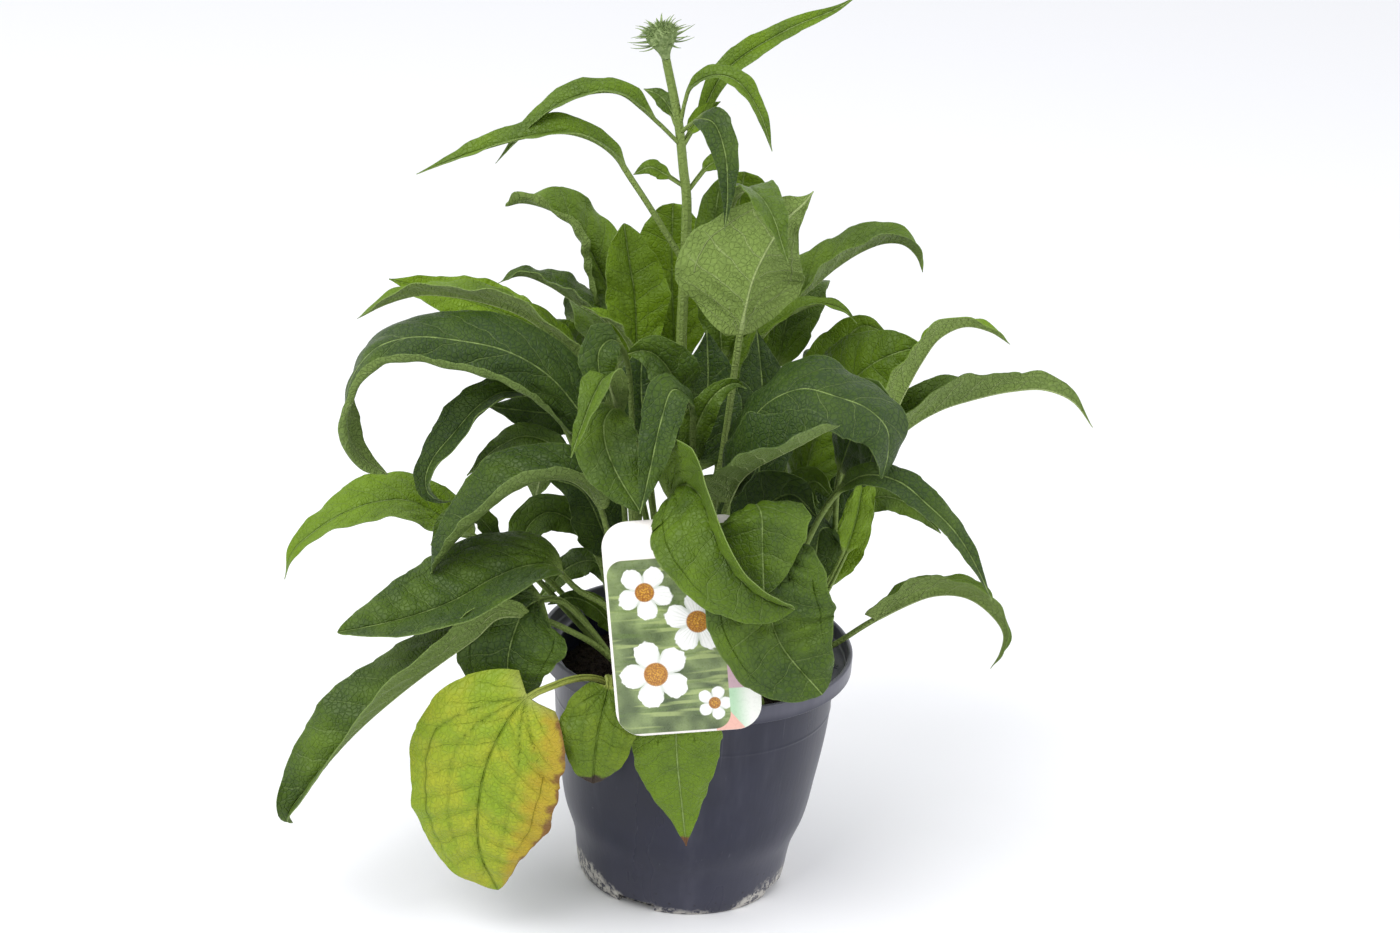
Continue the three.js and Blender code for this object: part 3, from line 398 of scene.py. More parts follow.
def teeth(t, length, seed, side):
    """How far the edge steps in behind each tooth. Teeth point forwards and differ in size."""
    place = t * max(4, round(length / TOOTH_PITCH)) + draw(seed + 0.5 * side)
    size = 0.35 + 0.65 * draw(seed + 7 * np.floor(place) + side)
    rise = place - np.floor(place)
    return TOOTH_DEPTH * size * (np.minimum(rise / 0.82, (1 - rise) / 0.18) - 0.6)


def edge_bite(v, t, width, openness, length, seed):
    """How far the edge is moved in or out by the teeth and by long, shallow lobes."""
    bite = np.where(v < 0, teeth(t, length, seed, 0), teeth(t, length, seed, 1))
    lobe = 0.035 * np.sin(11 * t + 6 * draw(seed + 0.7) + 2.4 * (v < 0))
    lobe = lobe + 0.02 * np.sin(29 * t + 9 * draw(seed + 0.9))
    return (bite * clip01(width / 12) + lobe * width) * openness * np.abs(v) ** 3


quarters = outline(np.array([0.25, 0.5, 0.75]), USUAL["widest"], USUAL["fullness"])
print("shares of the half width at each quarter of a blade:", quarters.round(2))

# %% The section of a blade
def past_roll(share):
    """How far out a point is on the part of a half that rolls."""
    return np.clip((share - ROLL_FROM) / (1 - ROLL_FROM), 0, 2)


def across(start, bend, roll, share):
    """Sideways and upwards from the midrib, over a half that has a slope, a bend and a roll at its edge."""
    steps = (np.arange(24) + 0.5) / 24
    r = share[..., None] * steps
    angle = start[..., None] + bend[..., None] * r + roll[..., None] * past_roll(r)
    return share * np.cos(angle).mean(-1), share * np.sin(angle).mean(-1)


def ripples(v, t, openness, wave, seed):
    """Long waves over the halves and short ones along the edge, in millimetres."""
    left = v < 0
    return wave * openness * (v**2 * np.sin(19 * t + 6 * draw(seed) + 2.2 * left)
                              + 0.45 * np.abs(v) ** 5 * np.sin(47 * t + 9 * draw(seed + 0.2) + 4 * left))


edge_rise = across(*np.radians([[10.0], [-16.0], [0.0]]), np.ones(1))[1][0]
print("an edge folded up by 10 degrees and bent back by 16 rises", round(edge_rise, 3), "half widths")

# %% Veins, swells and thickness
def vein_marks(v, t, width, length, seed):
    """Where the veins are: a count that passes a whole number at each side vein, and the distance in
    millimetres to the nearest long vein and to the midrib."""
    pairs = np.clip(round(length / SIDE_VEIN_PITCH), 4, 9)
    reach = np.abs(v)
    count = pairs * (t - 0.26 * reach * (1.15 - t) + 0.02 * v) + draw(seed + 0.3)
    start = clip01(t / 0.3) ** 0.7
    long_vein = np.min([np.abs(reach - share * start) for share in LONG_VEINS], axis=0) * width
    return count, long_vein, reach * width


def relief(v, t, width, veins, quilt):
    """How the blade stands out between its veins and sinks at them. The midrib's groove is the deepest."""
    count, long_vein, midrib = veins
    swell = 0.46 * quilt * clip01(width / 22, 0.3) * (1 - np.cos(2 * np.pi * count))
    swell = swell * clip01(midrib / 4) * clip01((1 - np.abs(v)) / 0.3)
    groove = 0.65 * quilt * clip01(width / 22, 0.2) * np.exp(-((long_vein / 1.5) ** 2)) * (1 - t)
    rib = 0.7 * np.exp(-((midrib / 1.3) ** 2)) * (1 - 0.7 * t)
    return swell - groove - rib


def thickness(v, t, width, openness, stem, rise):
    """How far the upper and the lower face stand off the middle of the leaf. A stalk is round with a channel
    on top, a blade is thin with a keel below, and the one passes into the other."""
    spread = clip01(t / 0.12)
    stalk = STALK_THICKNESS * stem * (0.12 + 0.88 * np.sqrt(clip01(1 - v**2)))
    channel = 0.28 * STALK_THICKNESS * stem * np.exp(-((v / 0.42) ** 2))
    keel = RIB_DEPTH * stem * clip01(1 - 1.2 * t, 0.12) * np.exp(-((v * width / 1.15) ** 2))
    thin = BLADE_THICKNESS * clip01(width / 3, 0.35)
    above = (1 - spread) * (stalk / 2 - channel) + spread * (thin / 2 + rise * openness)
    below = (1 - spread) * stalk / 2 + spread * (thin / 2 - rise * openness + keel * openness)
    return above, below


print("side veins every", SIDE_VEIN_PITCH, "mm, long veins at shares", LONG_VEINS, "of the half width")

# %% Which way each row of a leaf faces
def side_frames(path, azimuth):
    """Sideways directions along a route, carried along it without spin."""
    _, ahead = along(path, np.linspace(0, 1, FRAME_STEPS + 1))
    side = np.array([math.sin(azimuth), -math.cos(azimuth), 0.0])
    sides = []
    for forward in ahead:
        side = unit(side - forward * side.dot(forward))
        sides.append(side)
    return np.array(sides)


def row_frames(path, s, t, opens, azimuth, face, twist):
    """The middle of each row, and its directions forwards, sideways and upwards. The stalk turns bit by bit,
    so that the blade's middle looks the way the leaf faces, and the blade may twist further."""
    middle, forward = along(path, s)
    sides = side_frames(path, azimuth)
    side = between(s, np.linspace(0, 1, FRAME_STEPS + 1), sides)
    side = unit(side - forward * np.sum(side * forward, 1, keepdims=True))
    centre = round(FRAME_STEPS * (0.5 + 0.5 * opens))
    ahead = along(path, [centre / FRAME_STEPS])[1][0]
    target = unit(np.cross(ahead, unit(np.array(face, float))))
    towards = math.acos(np.clip(sides[centre].dot(target), -1, 1))
    towards *= 1 if np.cross(sides[centre], target).dot(ahead) >= 0 else -1
    angle = towards * np.minimum(1, s / opens) + math.radians(twist) * (t - 0.5) * (t > 0)
    side = turned(side, forward, angle)
    return middle, forward, side, np.cross(side, forward)


print("a leaf's sideways direction is carried along its route in", FRAME_STEPS, "steps")

# %% Growing a leaf
def leaf_grid(length, opens, half):
    """Shares along the whole leaf, shares along its blade, and shares across it from -1 to 1."""
    rows = int(np.clip((1 - opens) * length / ROW_GAP, 26, 90))
    stalk_rows = int(np.clip(opens * length / STALK_ROW_GAP, 3, 26))
    s = np.concatenate([np.linspace(0, opens, stalk_rows, endpoint=False),
                        opens + (1 - opens) * (1 - (1 - np.linspace(0, 1, rows)) ** 1.12)])
    columns = next(count for size, count in HALF_COLUMNS if half > size)
    share = np.linspace(0, 1, columns + 1)[1:] ** 1.2
    return s, clip01((s - opens) / (1 - opens))[:, None], np.concatenate([-share[::-1], [0], share])[None, :]


def grow(row, foot, seed):
    """One leaf as rows of points: its upper face and its lower face, with the marks that its finish reads."""
    o = {**USUAL, **row}
    far = max(o["route"], key=lambda p: math.hypot(p[0] - foot[0], p[1] - foot[1]))
    azimuth = math.atan2(far[1] - foot[1], far[0] - foot[0])
    path = smooth_path([foot, *o["route"]])
    length = path[1][-1]
    opens = path[1][round(FINE * o["stalk"])] / length
    blade_length = (1 - opens) * length
    s, t, v = leaf_grid(length, opens, o["half"])
    middle, forward, side, up = row_frames(path, s, t[:, 0], opens, azimuth, o["face"], o["twist"])

    open_width = o["half"] * outline(t, o["widest"], o["fullness"])
    width = np.hypot(open_width, STALK_HALF_WIDTH * o["stem"] * (1 - 0.8 * t))
    openness = np.minimum(1, open_width / (3 * STALK_HALF_WIDTH))
    halves = lambda name: np.radians(np.where(v < 0, *o[name]))
    fold = halves("cup") * (0.6 + 0.4 * openness)
    bend, roll = halves("curl") * openness, halves("roll") * openness
    bite = edge_bite(v, t, width, openness, blade_length, seed)
    out, rise = across(fold, bend, roll, np.abs(v) + bite / width)
    back = o["heart"] * openness * v**2 * clip01(1 - t / LOBE_REACH) ** 2
    ripple = ripples(v, t, openness, o["wave"], seed)
    sheet = (middle[:, None] + side[:, None] * (np.sign(v) * width * out)[..., None]
             + up[:, None] * (width * rise + ripple)[..., None] - forward[:, None] * back[..., None])

    # Where the sheet is so crumpled that its normal points astray, the normal is drawn towards the one that
    # the half's tilt gives there.
    normal = unit(np.cross(np.gradient(sheet, axis=1), np.gradient(sheet, axis=0)))
    tilt = fold + bend * np.abs(v) + roll * past_roll(np.abs(v))
    expected = up[:, None] * np.cos(tilt)[..., None] - side[:, None] * (np.sign(v) * np.sin(tilt))[..., None]
    crumpled = np.sum(normal * expected, -1, keepdims=True) < 0.2
    normal = np.where(crumpled, unit(0.4 * normal + 0.6 * expected), normal)

    veins = vein_marks(v, t, width, blade_length, seed)
    above, below = thickness(v, t, width, openness, o["stem"], relief(v, t, width, veins, o["quilt"]))
    return dict(
        top=sheet + normal * above[..., None],
        bottom=sheet - normal * below[..., None],
        veins=layered(*veins),
        blade=layered(v, t, width),
        flat=layered(v * width, s[:, None] * length, 17.0 * (seed % 50)),
        leaf=(o["tint"], o["withered"], draw(seed + 0.6)),
    )


lengthways, _, crossways = leaf_grid(length=150, opens=0.3, half=20)
print("a leaf 150 mm long and 40 mm wide has", lengthways.size, "rows of", crossways.size, "points")

# %% [markdown]
# ## From rows of points to a mesh
#
# A leaf's two faces are joined into a ring at each row: over the top from left to right and back underneath.
# The rings are joined with four-sided faces and the two ends are closed. Each point also carries marks: how
# far along and across the blade it is, how near a vein, and which leaf it belongs to. The finish reads these,
# so veins and edges stay in place however the leaf is bent. Many leaves go into one mesh, because a shoot is
# one body.

# %% Building a mesh from rings
MARKS = ("veins", "blade", "flat", "leaf")
BARE = {"veins": (0.5, 9.0, 9.0), "blade": (0.5, 0.0, 9.0)}  # marks for skin without veins, far from any edge
FOLD_ANGLE = 55


def ring_faces(grid):
    """Four-sided faces between rings of point numbers, and one face over each end."""
    here, there = grid[:-1], grid[1:]
    beside = lambda rings: np.roll(rings, -1, axis=1)
    quads = np.stack([here, beside(here), beside(there), there], -1).reshape(-1, 4)
    return [*quads.tolist(), grid[0][::-1].tolist(), grid[-1].tolist()]


def smooth(mesh, sharp_from=None):
    """Shades a mesh smooth, but for edges that are sharper than an angle."""
    mesh.polygons.foreach_set("use_smooth", [True] * len(mesh.polygons))
    if sharp_from:
        mesh.set_sharp_from_angle(angle=math.radians(sharp_from))
    return mesh


def shape_mesh(name, points, faces, material, sharp_from=None):
    """A smooth mesh in metres from points in millimetres."""
    mesh = bpy.data.meshes.new(name)
    mesh.from_pydata((points.reshape(-1, 3) * MM).tolist(), [], faces)
    mesh.materials.append(material)
    return smooth(mesh, sharp_from)


def rings_round(reach, angle, height, x=0.0, y=0.0):
    """Rings of points round an upright axis."""
    return layered(x + reach * np.cos(angle), y + reach * np.sin(angle), height)


def keep_mark(mesh, name, values, kind="FLOAT_VECTOR", domain="POINT"):
    layer = mesh.attributes.new(name, kind, domain)
    what = "vector" if kind == "FLOAT_VECTOR" else "value"
    layer.data.foreach_set(what, np.asarray(values, np.float32).ravel())


def settle(name, mesh, node):
    """Shows a finished mesh in its solid's place, as a piece that rides on the plant."""
    piece = stand(name, mesh)
    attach(piece, "root")
    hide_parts(node)
    triangles = sum(len(face.vertices) - 2 for face in mesh.polygons)
    print(f"{name}: {triangles} triangles")
    return piece


# %% Piling up leaves in one body
class Body:
    """Points, faces and marks that pile up and become one mesh."""

    def __init__(self):
        self.points, self.faces, self.under, self.count = [], [], [], 0
        self.marks = {name: [] for name in MARKS}

    def add_rings(self, rings, marks, split=None):
        """Rings of points as (rows, around, 3). Faces past column `split` count as the underside."""
        rows, around = rings.shape[:2]
        self.faces += ring_faces(self.count + np.arange(rows * around).reshape(rows, around))
        column = np.broadcast_to(np.arange(around), (rows - 1, around))
        self.under += [*(column >= (split or around)).astype(float).ravel().tolist(), 0.0, 0.0]
        self.points.append(rings.reshape(-1, 3))
        for name in MARKS:
            mark = np.asarray(marks.get(name, (0, 0, 0)), float)
            self.marks[name].append(np.broadcast_to(mark, (rows, around, 3)).reshape(-1, 3))
        self.count += rows * around

    def add_leaf(self, parts):
        rings = np.concatenate([parts["top"], parts["bottom"][:, ::-1]], axis=1)
        both = {name: np.concatenate([parts[name], parts[name][:, ::-1]], axis=1)
                for name in ("veins", "blade", "flat")}
        self.add_rings(rings, {**both, "leaf": parts["leaf"]}, split=parts["top"].shape[1])

    def mesh(self, name, material):
        mesh = shape_mesh(name, np.vstack(self.points), self.faces, material, FOLD_ANGLE)
        for mark in MARKS:
            keep_mark(mesh, mark, np.vstack(self.marks[mark]))
        keep_mark(mesh, "underside", self.under, "FLOAT", "FACE")
        return mesh


print("each point carries the marks", ", ".join(MARKS))

# %% [markdown]
# ## The living leaf's finish
#
# Leaves could be painted as pictures, but a rule is sharper at any distance and needs no file. The marks say
# where the veins run. On the upper face they are sunken, with painted shade in them and in a band beside the
# midrib, one pale line along the midrib and pale threads along the side veins; below they stand out, paler
# than the grey-green between them. Fine cross ribs and a net of small veins break up the gloss. The stalk is
# pale green, young leaves are yellower than old ones, leaves deep in the plant are painted darker for the
# shade they lie in and lit ones brighter, and the edge has a thin light rim.

# %% Veins, ribs and net of a leaf
VEIN_BUMP_DEPTH = 0.0009


def vein_lines(f, wander=0.45):
    """Lines of 0 to 1 along the side veins, the long veins and the midrib, and the swells between them."""
    count, long_vein, midrib = f.split(f.mark("veins"))
    across, t, width = f.split(f.mark("blade"))
    flat = f.mark("flat")
    drift = (f.grain(flat, 0.08, 1) - 0.5) * wander
    near = f.calc("PINGPONG", count + drift, 0.5) * SIDE_VEIN_PITCH
    reach = abs(across)
    inner, roomy = f.fade_out(reach, 0.7, 1.0), f.fade(width, 5.0, 20.0, 0.15, 1.0)
    return SimpleNamespace(
        side=f.fade(near, 0.1, 0.75, 0.55, 0.0) * inner * roomy,
        thread=f.fade_out(near, 0.05, 0.45) * (inner * roomy),
        long=f.fade_out(long_vein, 0.1, 0.7) * f.fade(t, 0.55, 0.95, roomy, 0.0),
        broad=f.fade_out(long_vein, 0.3, 2.4) * f.fade_out(t, 0.6, 1.0),
        mid=f.fade_out(midrib, 0.25, 0.7),
        shadow=f.fade_out(midrib, 0.5, 2.4),
        ladder=f.grain(f.stretch(flat, (0.1, 0.5, 1.0)), 1.0, 2),
        net=f.fade(f.cells(flat, 0.36, "DISTANCE_TO_EDGE"), 0.0, 0.16),
        across=across, reach=reach, t=t, flat=flat)


def vein_bump(f, lines, under):
    """Sunken veins and swells above; the same turned over, and stronger, below."""
    veins = f.most(lines.side, lines.long, lines.mid)
    height = lines.ladder * 0.6 + lines.net * 0.3 - veins * 0.7
    return f.bump(height * (1.0 - under * 2.6), VEIN_BUMP_DEPTH)


print("the finish makes veins stand out by", VEIN_BUMP_DEPTH * 1000, "mm more")

# %% Green leaves
LEAF_DARK, LEAF_BRIGHT = rgb(40, 62, 22), rgb(108, 138, 14)
LEAF_UNDER, LEAF_UNDER_BRIGHT = rgb(106, 126, 66), rgb(128, 150, 76)
VEIN_PALE, VEIN_GREEN, VEIN_UNDER = rgb(132, 154, 86), rgb(104, 132, 50), rgb(164, 180, 118)
VEIN_SHADE = (0.45, 0.5, 0.4)  # what is left of the light in a sunken vein
STALK_GREEN, DRY_BROWN = rgb(130, 150, 76), rgb(104, 70, 40)


def upper_face(f, lines, tone):
    plain = f.blend(lines.net * 0.12, f.blend(f.fade(tone, 0.0, 1.0), LEAF_DARK, LEAF_BRIGHT), LEAF_BRIGHT)
    worn = f.fade(f.grain(lines.flat, 0.12, 2), 0.35, 0.6, 0.35, 0.9)
    # Painted shade: the sunken side and long veins are darkened by VEIN_SHADE, and a band beside the midrib
    # by LEAF_DARK.
    return f.coats(
        plain,
        (f.most(lines.side, lines.long) * 0.42, f.blend(1.0, plain, VEIN_SHADE, "MULTIPLY")),
        (lines.thread * 0.3, VEIN_PALE),
        (lines.shadow * 0.12, LEAF_DARK),
        (lines.mid * worn, f.blend(f.fade(tone, 0.55, 1.0), VEIN_PALE, VEIN_GREEN)))


def lower_face(f, lines, tone):
    return f.coats(
        f.blend(f.fade(tone, 0.1, 0.9), LEAF_UNDER, LEAF_UNDER_BRIGHT),
        (lines.net * 0.1, LEAF_DARK),
        (lines.ladder * 0.25, LEAF_BRIGHT),
        (f.fade_out(lines.net, 0.0, 1.0) * 0.16, LEAF_DARK),
        (f.most(lines.mid, lines.side, lines.long) * 0.75, VEIN_UNDER))


def leaf_finish():
    f = Finish("leaf_green", rough=0.45, specular=0.28)
    lines = vein_lines(f)
    # The leaf's tint darkens or brightens the whole leaf: partly its age, partly painted shade on leaves deep
    # in the plant and painted light on lit ones.
    tint, withered, _ = f.split(f.mark("leaf"))
    under = f.mark("underside", "Fac")
    patch = f.grain(lines.flat, 0.03, 3, 0.6)
    tone = tint + (patch - 0.5) * 0.9
    streak = f.grain(f.stretch(lines.flat, (0.9, 0.04, 1.0)), 1.0, 2)
    dry_edge = lines.t + f.grain(lines.flat, 0.2, 2) * 0.08
    colour = f.coats(
        f.blend(under, upper_face(f, lines, tone), lower_face(f, lines, tone)),
        (f.fade(lines.reach, 0.96, 1.0) * 0.25, VEIN_PALE),
        (f.fade_out(lines.t, 0.0, 0.09) * 0.85, f.blend(streak * 0.5, STALK_GREEN, LEAF_UNDER)),
        (f.fade(dry_edge, 0.955, 0.985) * withered, DRY_BROWN))
    return f.wear(Base_Color=colour, Roughness=0.4 + patch * 0.14 + under * 0.18,
                  Normal=vein_bump(f, lines, under))


LEAF_GREEN = leaf_finish()
print(LEAF_GREEN.name, "mixed from", len(LEAF_GREEN.node_tree.nodes), "nodes")

# %% [markdown]
# ## Where the leaves go
#
# Nine shoots rise from the crown, each with four to ten leaves. The table gives every leaf half its width,
# after how many of its route's points the blade opens, and the route itself, in millimetres. `cup` folds its
# left and right half up, `curl` bends them and `roll` rolls their edges, in degrees. `face` says which way
# its upper face looks, `twist` turns the blade along its length, and `tint` runs from dark (0) to bright (1).
# It stands partly for age, old leaves being darker than young ones, and partly for painted light: leaves deep
# in the plant get low values as painted shade, and leaves in the light get higher ones. A scattered
# arrangement would be quicker, but a plant is known by its own leaves, so they keep the solids' routes.

# %% The shoots' leaves
def leaf(half, stalk, route, **form):
    return dict(half=half, stalk=stalk, route=route, **form)


SHOOTS = {
    "west": dict(foot=(-38, -2), radius=10, face=(0, -1, 0.8), leaves=[
        leaf(23, 2.3, [(-94, 0, 188), (-130, 5, 204), (-160, 10, 219), (-180, 8, 228), (-200, 5, 226),
             (-218, 0, 219), (-234, -5, 208), (-246, -8, 195), (-250, -10, 178)], cup=(18, 6),
             curl=(-10, -10), roll=(30, 0), face=(0, -0.5, 1), widest=0.3, tint=0.75),
        leaf(27, 1.35, [(-52, -18, 262), (-62, -22, 281), (-79, -26, 307), (-96, -30, 327), (-119, -34, 341),
             (-146, -38, 347), (-176, -42, 348), (-195, -44, 340), (-207, -46, 323), (-211, -46, 304),
             (-208, -44, 284), (-199, -40, 270), (-186, -38, 262)], cup=(0, -30), curl=(20, -20),
             roll=(150, 0), face=(0, -0.9, 0.6), twist=115, widest=0.45, fullness=1.5, tint=0.1, quilt=1.3),
        leaf(13, 1.6, [(-86, -6, 286), (-104, -12, 307), (-123, -18, 311), (-137, -24, 303), (-149, -28, 288),
             (-161, -30, 271), (-165, -30, 258), (-163, -28, 248), (-155, -26, 243), (-146, -24, 244)],
             cup=(20, 20), curl=(-10, 10), roll=(60, 0), face=(0, -0.5, 0.9), twist=-40, tint=0.15),
        leaf(16, 1.7, [(-61, -2, 293), (-79, 0, 327), (-97, 0, 341), (-113, 0, 352), (-132, 0, 358),
             (-155, 0, 361), (-175, -2, 361), (-195, -3, 354), (-211, -4, 344)], cup=(38, 32), curl=(-8, -8),
             face=(0, 0.15, 1), widest=0.45, fullness=1.5, tint=0.6),
        leaf(8, 1, [(-120, -30, 223), (-138, -36, 242), (-150, -42, 238), (-159, -44, 222)], cup=(20, 20),
             tint=0.3),
        leaf(12, 1.5, [(-62, -2, 203), (-78, 6, 222), (-94, 4, 229), (-105, 0, 222), (-109, -3, 203),
             (-104, -5, 182)], cup=(20, 20), tint=0.3),
        leaf(16, 1.4, [(-50, -6, 190), (-62, -10, 228), (-76, -12, 252), (-96, -14, 258)], tint=0.1),
        leaf(7, 1, [(-50, -10, 160), (-62, -16, 178), (-76, -22, 186), (-90, -28, 183)], tint=0.4),
    ]),
    "northwest": dict(foot=(-38, 26), radius=10, face=(0, -1, 0.8), leaves=[
        leaf(16, 2, [(-68, 34, 271), (-105, 50, 325), (-134, 55, 336), (-155, 58, 341), (-180, 58, 346),
             (-201, 55, 351)], tint=0.95),
        leaf(18, 1.8, [(-50, 20, 311), (-66, 24, 345), (-86, 26, 355), (-104, 28, 364), (-120, 28, 368),
             (-133, 28, 362)], cup=(45, 20), face=(0, -0.1, 1), tint=0.3),
        leaf(15, 1.5, [(-60, 14, 255), (-83, 16, 288), (-100, 12, 289), (-118, 8, 291), (-134, 5, 293)],
             tint=0.2),
        leaf(23, 1.8, [(-62, 54, 240), (-86, 78, 298), (-104, 98, 318), (-118, 116, 308), (-124, 128, 284)],
             face=(0, 0.5, 1), tint=0.35),
        leaf(21, 1.8, [(-54, 52, 186), (-74, 78, 222), (-92, 100, 228), (-106, 116, 212), (-112, 126, 186)],
             cup=(16, 16), face=(0, 0.5, 1), tint=0.3),
        leaf(8, 1, [(-83, -2, 266), (-108, 0, 278), (-125, 2, 270), (-144, 0, 250)], cup=(20, 20), tint=0.3),
        leaf(9, 1.4, [(-54, 14, 170), (-65, 22, 191), (-81, 27, 185), (-93, 28, 169), (-101, 28, 158)],
             cup=(15, 15), tint=0.35),
        leaf(22, 1.6, [(-45, 35, 293), (-62, 42, 345), (-74, 45, 369), (-83, 46, 384), (-94, 44, 398),
             (-106, 40, 406), (-122, 36, 410), (-131, 32, 408)], cup=(45, 0), curl=(0, -10), roll=(110, 0),
             face=(0.3, -1, 0.6), twist=120, wave=3.4, widest=0.5, fullness=1.3, tint=0.55, quilt=1.6),
        leaf(9, 1.4, [(-44, 2, 305), (-49, 0, 333), (-59, -6, 351), (-70, -10, 360), (-81, -12, 365)],
             cup=(40, 20), face=(0, -0.3, 1), tint=0.7),
    ]),
    "southwest": dict(foot=(-26, -34), radius=10, face=(0, -1, 0.7), leaves=[
        leaf(27, 1.8, [(-53, -40, 223), (-64, -46, 259), (-78, -52, 273), (-94, -56, 274), (-111, -60, 267),
             (-126, -63, 254), (-141, -65, 237), (-151, -66, 223), (-156, -66, 214)], cup=(62, 0),
             curl=(10, -16), roll=(60, 0), face=(0, -0.75, 0.8), widest=0.45, fullness=1.5, tint=0.15,
             quilt=1.4),
        leaf(34, 2.6, [(-52, -38, 186), (-72, -46, 202), (-89, -54, 220), (-104, -60, 220), (-121, -68, 214),
             (-140, -78, 204), (-162, -86, 196), (-185, -94, 191), (-204, -100, 188)], cup=(56, -10),
             curl=(0, -24), face=(0, -0.95, 0.6), widest=0.42, fullness=1.4, tint=0.25, quilt=1.3),
        leaf(30, 3, [(-54, -50, 165), (-71, -62, 181), (-95, -74, 195), (-115, -83, 198), (-127, -89, 187),
             (-145, -93, 172), (-166, -99, 154), (-191, -106, 129), (-215, -111, 97), (-228, -112, 75),
             (-226, -110, 69)], cup=(82, -5), curl=(10, -20), face=(0, -0.8, 0.7), twist=-60, wave=3,
             widest=0.5, fullness=1.4, tint=0.3, quilt=1.6),
        leaf(31, 2.5, [(-66, -50, 183), (-83, -62, 202), (-98, -74, 202), (-106, -84, 184), (-107, -88, 164),
             (-99, -88, 139)], face=(0, -1, 0.3), fullness=1.4, tint=0.25, quilt=1.6),
        leaf(18, 2, [(-47, -45, 279), (-56, -58, 320), (-61, -72, 318), (-59, -82, 307), (-51, -90, 293),
             (-37, -95, 274)], cup=(14, 14), curl=(-20, -20), face=(0, -1, 0.4), fullness=1.3, tint=0.3),
        leaf(12, 2.5, [(-46, -30, 295), (-53, -40, 347), (-61, -48, 358), (-67, -54, 353), (-66, -58, 340),
             (-61, -60, 326)], cup=(10, 40), face=(-0.3, -1, 0.4), tint=0.2),
        leaf(10, 1.4, [(-50, -44, 297), (-58, -62, 332), (-62, -76, 345), (-67, -88, 338), (-72, -96, 323),
             (-77, -100, 305)], cup=(30, 30), face=(-0.5, -1, 0.4), tint=0.55),
    ]),
    "south": dict(foot=(4, -42), radius=9, face=(0, -1, 0.6), leaves=[
        leaf(27, 2, [(-2, -84, 168), (-6, -100, 165), (-8, -106, 152), (-6, -106, 127), (-2, -102, 100),
             (3, -96, 66)], cup=(-8, -8), widest=0.3, tint=0.7, withered=1),
        leaf(35, 2.2, [(-25, -50, 227), (-22, -66, 266), (-14, -84, 288), (-4, -100, 288), (2, -115, 280),
             (8, -125, 270), (19, -132, 256), (35, -137, 246), (52, -140, 242)], cup=(74, 4), curl=(0, -14),
             face=(-0.25, -1, 0.55), widest=0.42, fullness=1.35, tint=0.45, quilt=1.3),
        leaf(12, 2.4, [(-9, -50, 253), (-11, -62, 307), (-14, -70, 333), (-24, -80, 342), (-29, -90, 327),
             (-33, -96, 300), (-37, -98, 274)], cup=(16, 16), tint=0.1),
        leaf(9, 1, [(-11, -50, 286), (-9, -56, 314), (0, -58, 334), (10, -55, 340), (17, -51, 336)],
             cup=(16, 16), tint=0.45),
    ]),
    "southeast": dict(foot=(34, -28), radius=10, face=(0, -1, 0.6), leaves=[
        leaf(27, 2.4, [(26, -60, 244), (25, -86, 271), (27, -110, 290), (30, -121, 288), (32, -125, 270),
             (35, -128, 244)], cup=(-6, -6), curl=(-20, -20), face=(0, -1, 0.4), widest=0.42, fullness=1.3,
             tint=0.45, quilt=1.5),
        leaf(36, 3.5, [(59, -46, 194), (51, -78, 236), (40, -94, 257), (33, -107, 263), (35, -119, 249),
             (45, -127, 217), (72, -130, 187)], cup=(4, 4), curl=(-10, -10), heart=10, face=(-0.05, -1, 0.35),
             widest=0.42, fullness=1.05, tint=0.3, quilt=2.8),
        leaf(27, 1.7, [(14, -52, 231), (12, -60, 283), (18, -68, 317), (30, -76, 338), (48, -84, 350),
             (66, -90, 349), (83, -94, 345), (95, -97, 335), (97, -98, 320), (95, -98, 306)], cup=(-6, 6),
             curl=(-20, -20), face=(0, -0.7, 1), twist=-30, wave=3, widest=0.5, fullness=1.3, tint=0.0),
        leaf(8.5, 2, [(56, -46, 232), (73, -70, 285), (88, -86, 303), (105, -90, 302), (123, -90, 289),
             (140, -88, 273), (153, -86, 254), (165, -84, 232)], cup=(14, 24), face=(0.2, -1, 0.7),
             tint=0.15),
        leaf(27, 2.2, [(7, -52, 230), (11, -62, 267), (16, -76, 289), (25, -92, 305), (38, -104, 318),
             (49, -112, 328), (59, -117, 337), (68, -120, 343)], cup=(80, 20), curl=(-12, -4),
             face=(0, -0.1, 1), widest=0.45, fullness=1.3, tint=0.0),
        leaf(9, 2.6, [(72, -34, 204), (79, -38, 226), (84, -40, 243), (87, -40, 260), (88, -40, 274),
             (90, -38, 289)], cup=(16, 16), face=(0.3, -1, 0.2), tint=0.95),
    ]),
    "east": dict(foot=(42, 8), radius=10, face=(0, -1, 0.8), leaves=[
        leaf(25, 2.2, [(75, -8, 217), (75, -26, 275), (80, -40, 308), (89, -52, 322), (92, -60, 314),
             (90, -63, 302), (87, -64, 287)], cup=(6, 10), curl=(-16, -20), face=(0, -1, 0.5), widest=0.45,
             fullness=1.3, tint=0.1),
        leaf(10, 1.3, [(72, 0, 187), (86, -5, 224), (90, -8, 250), (93, -12, 273), (97, -15, 289)],
             tint=0.95),
        leaf(10, 1.2, [(81, 34, 226), (98, 42, 238), (114, 45, 239), (130, 44, 231), (144, 40, 220)],
             cup=(20, 20), tint=0.45),
        leaf(17, 2.2, [(83, 10, 153), (103, 9, 170), (122, 8, 184), (141, 6, 194), (159, 2, 196),
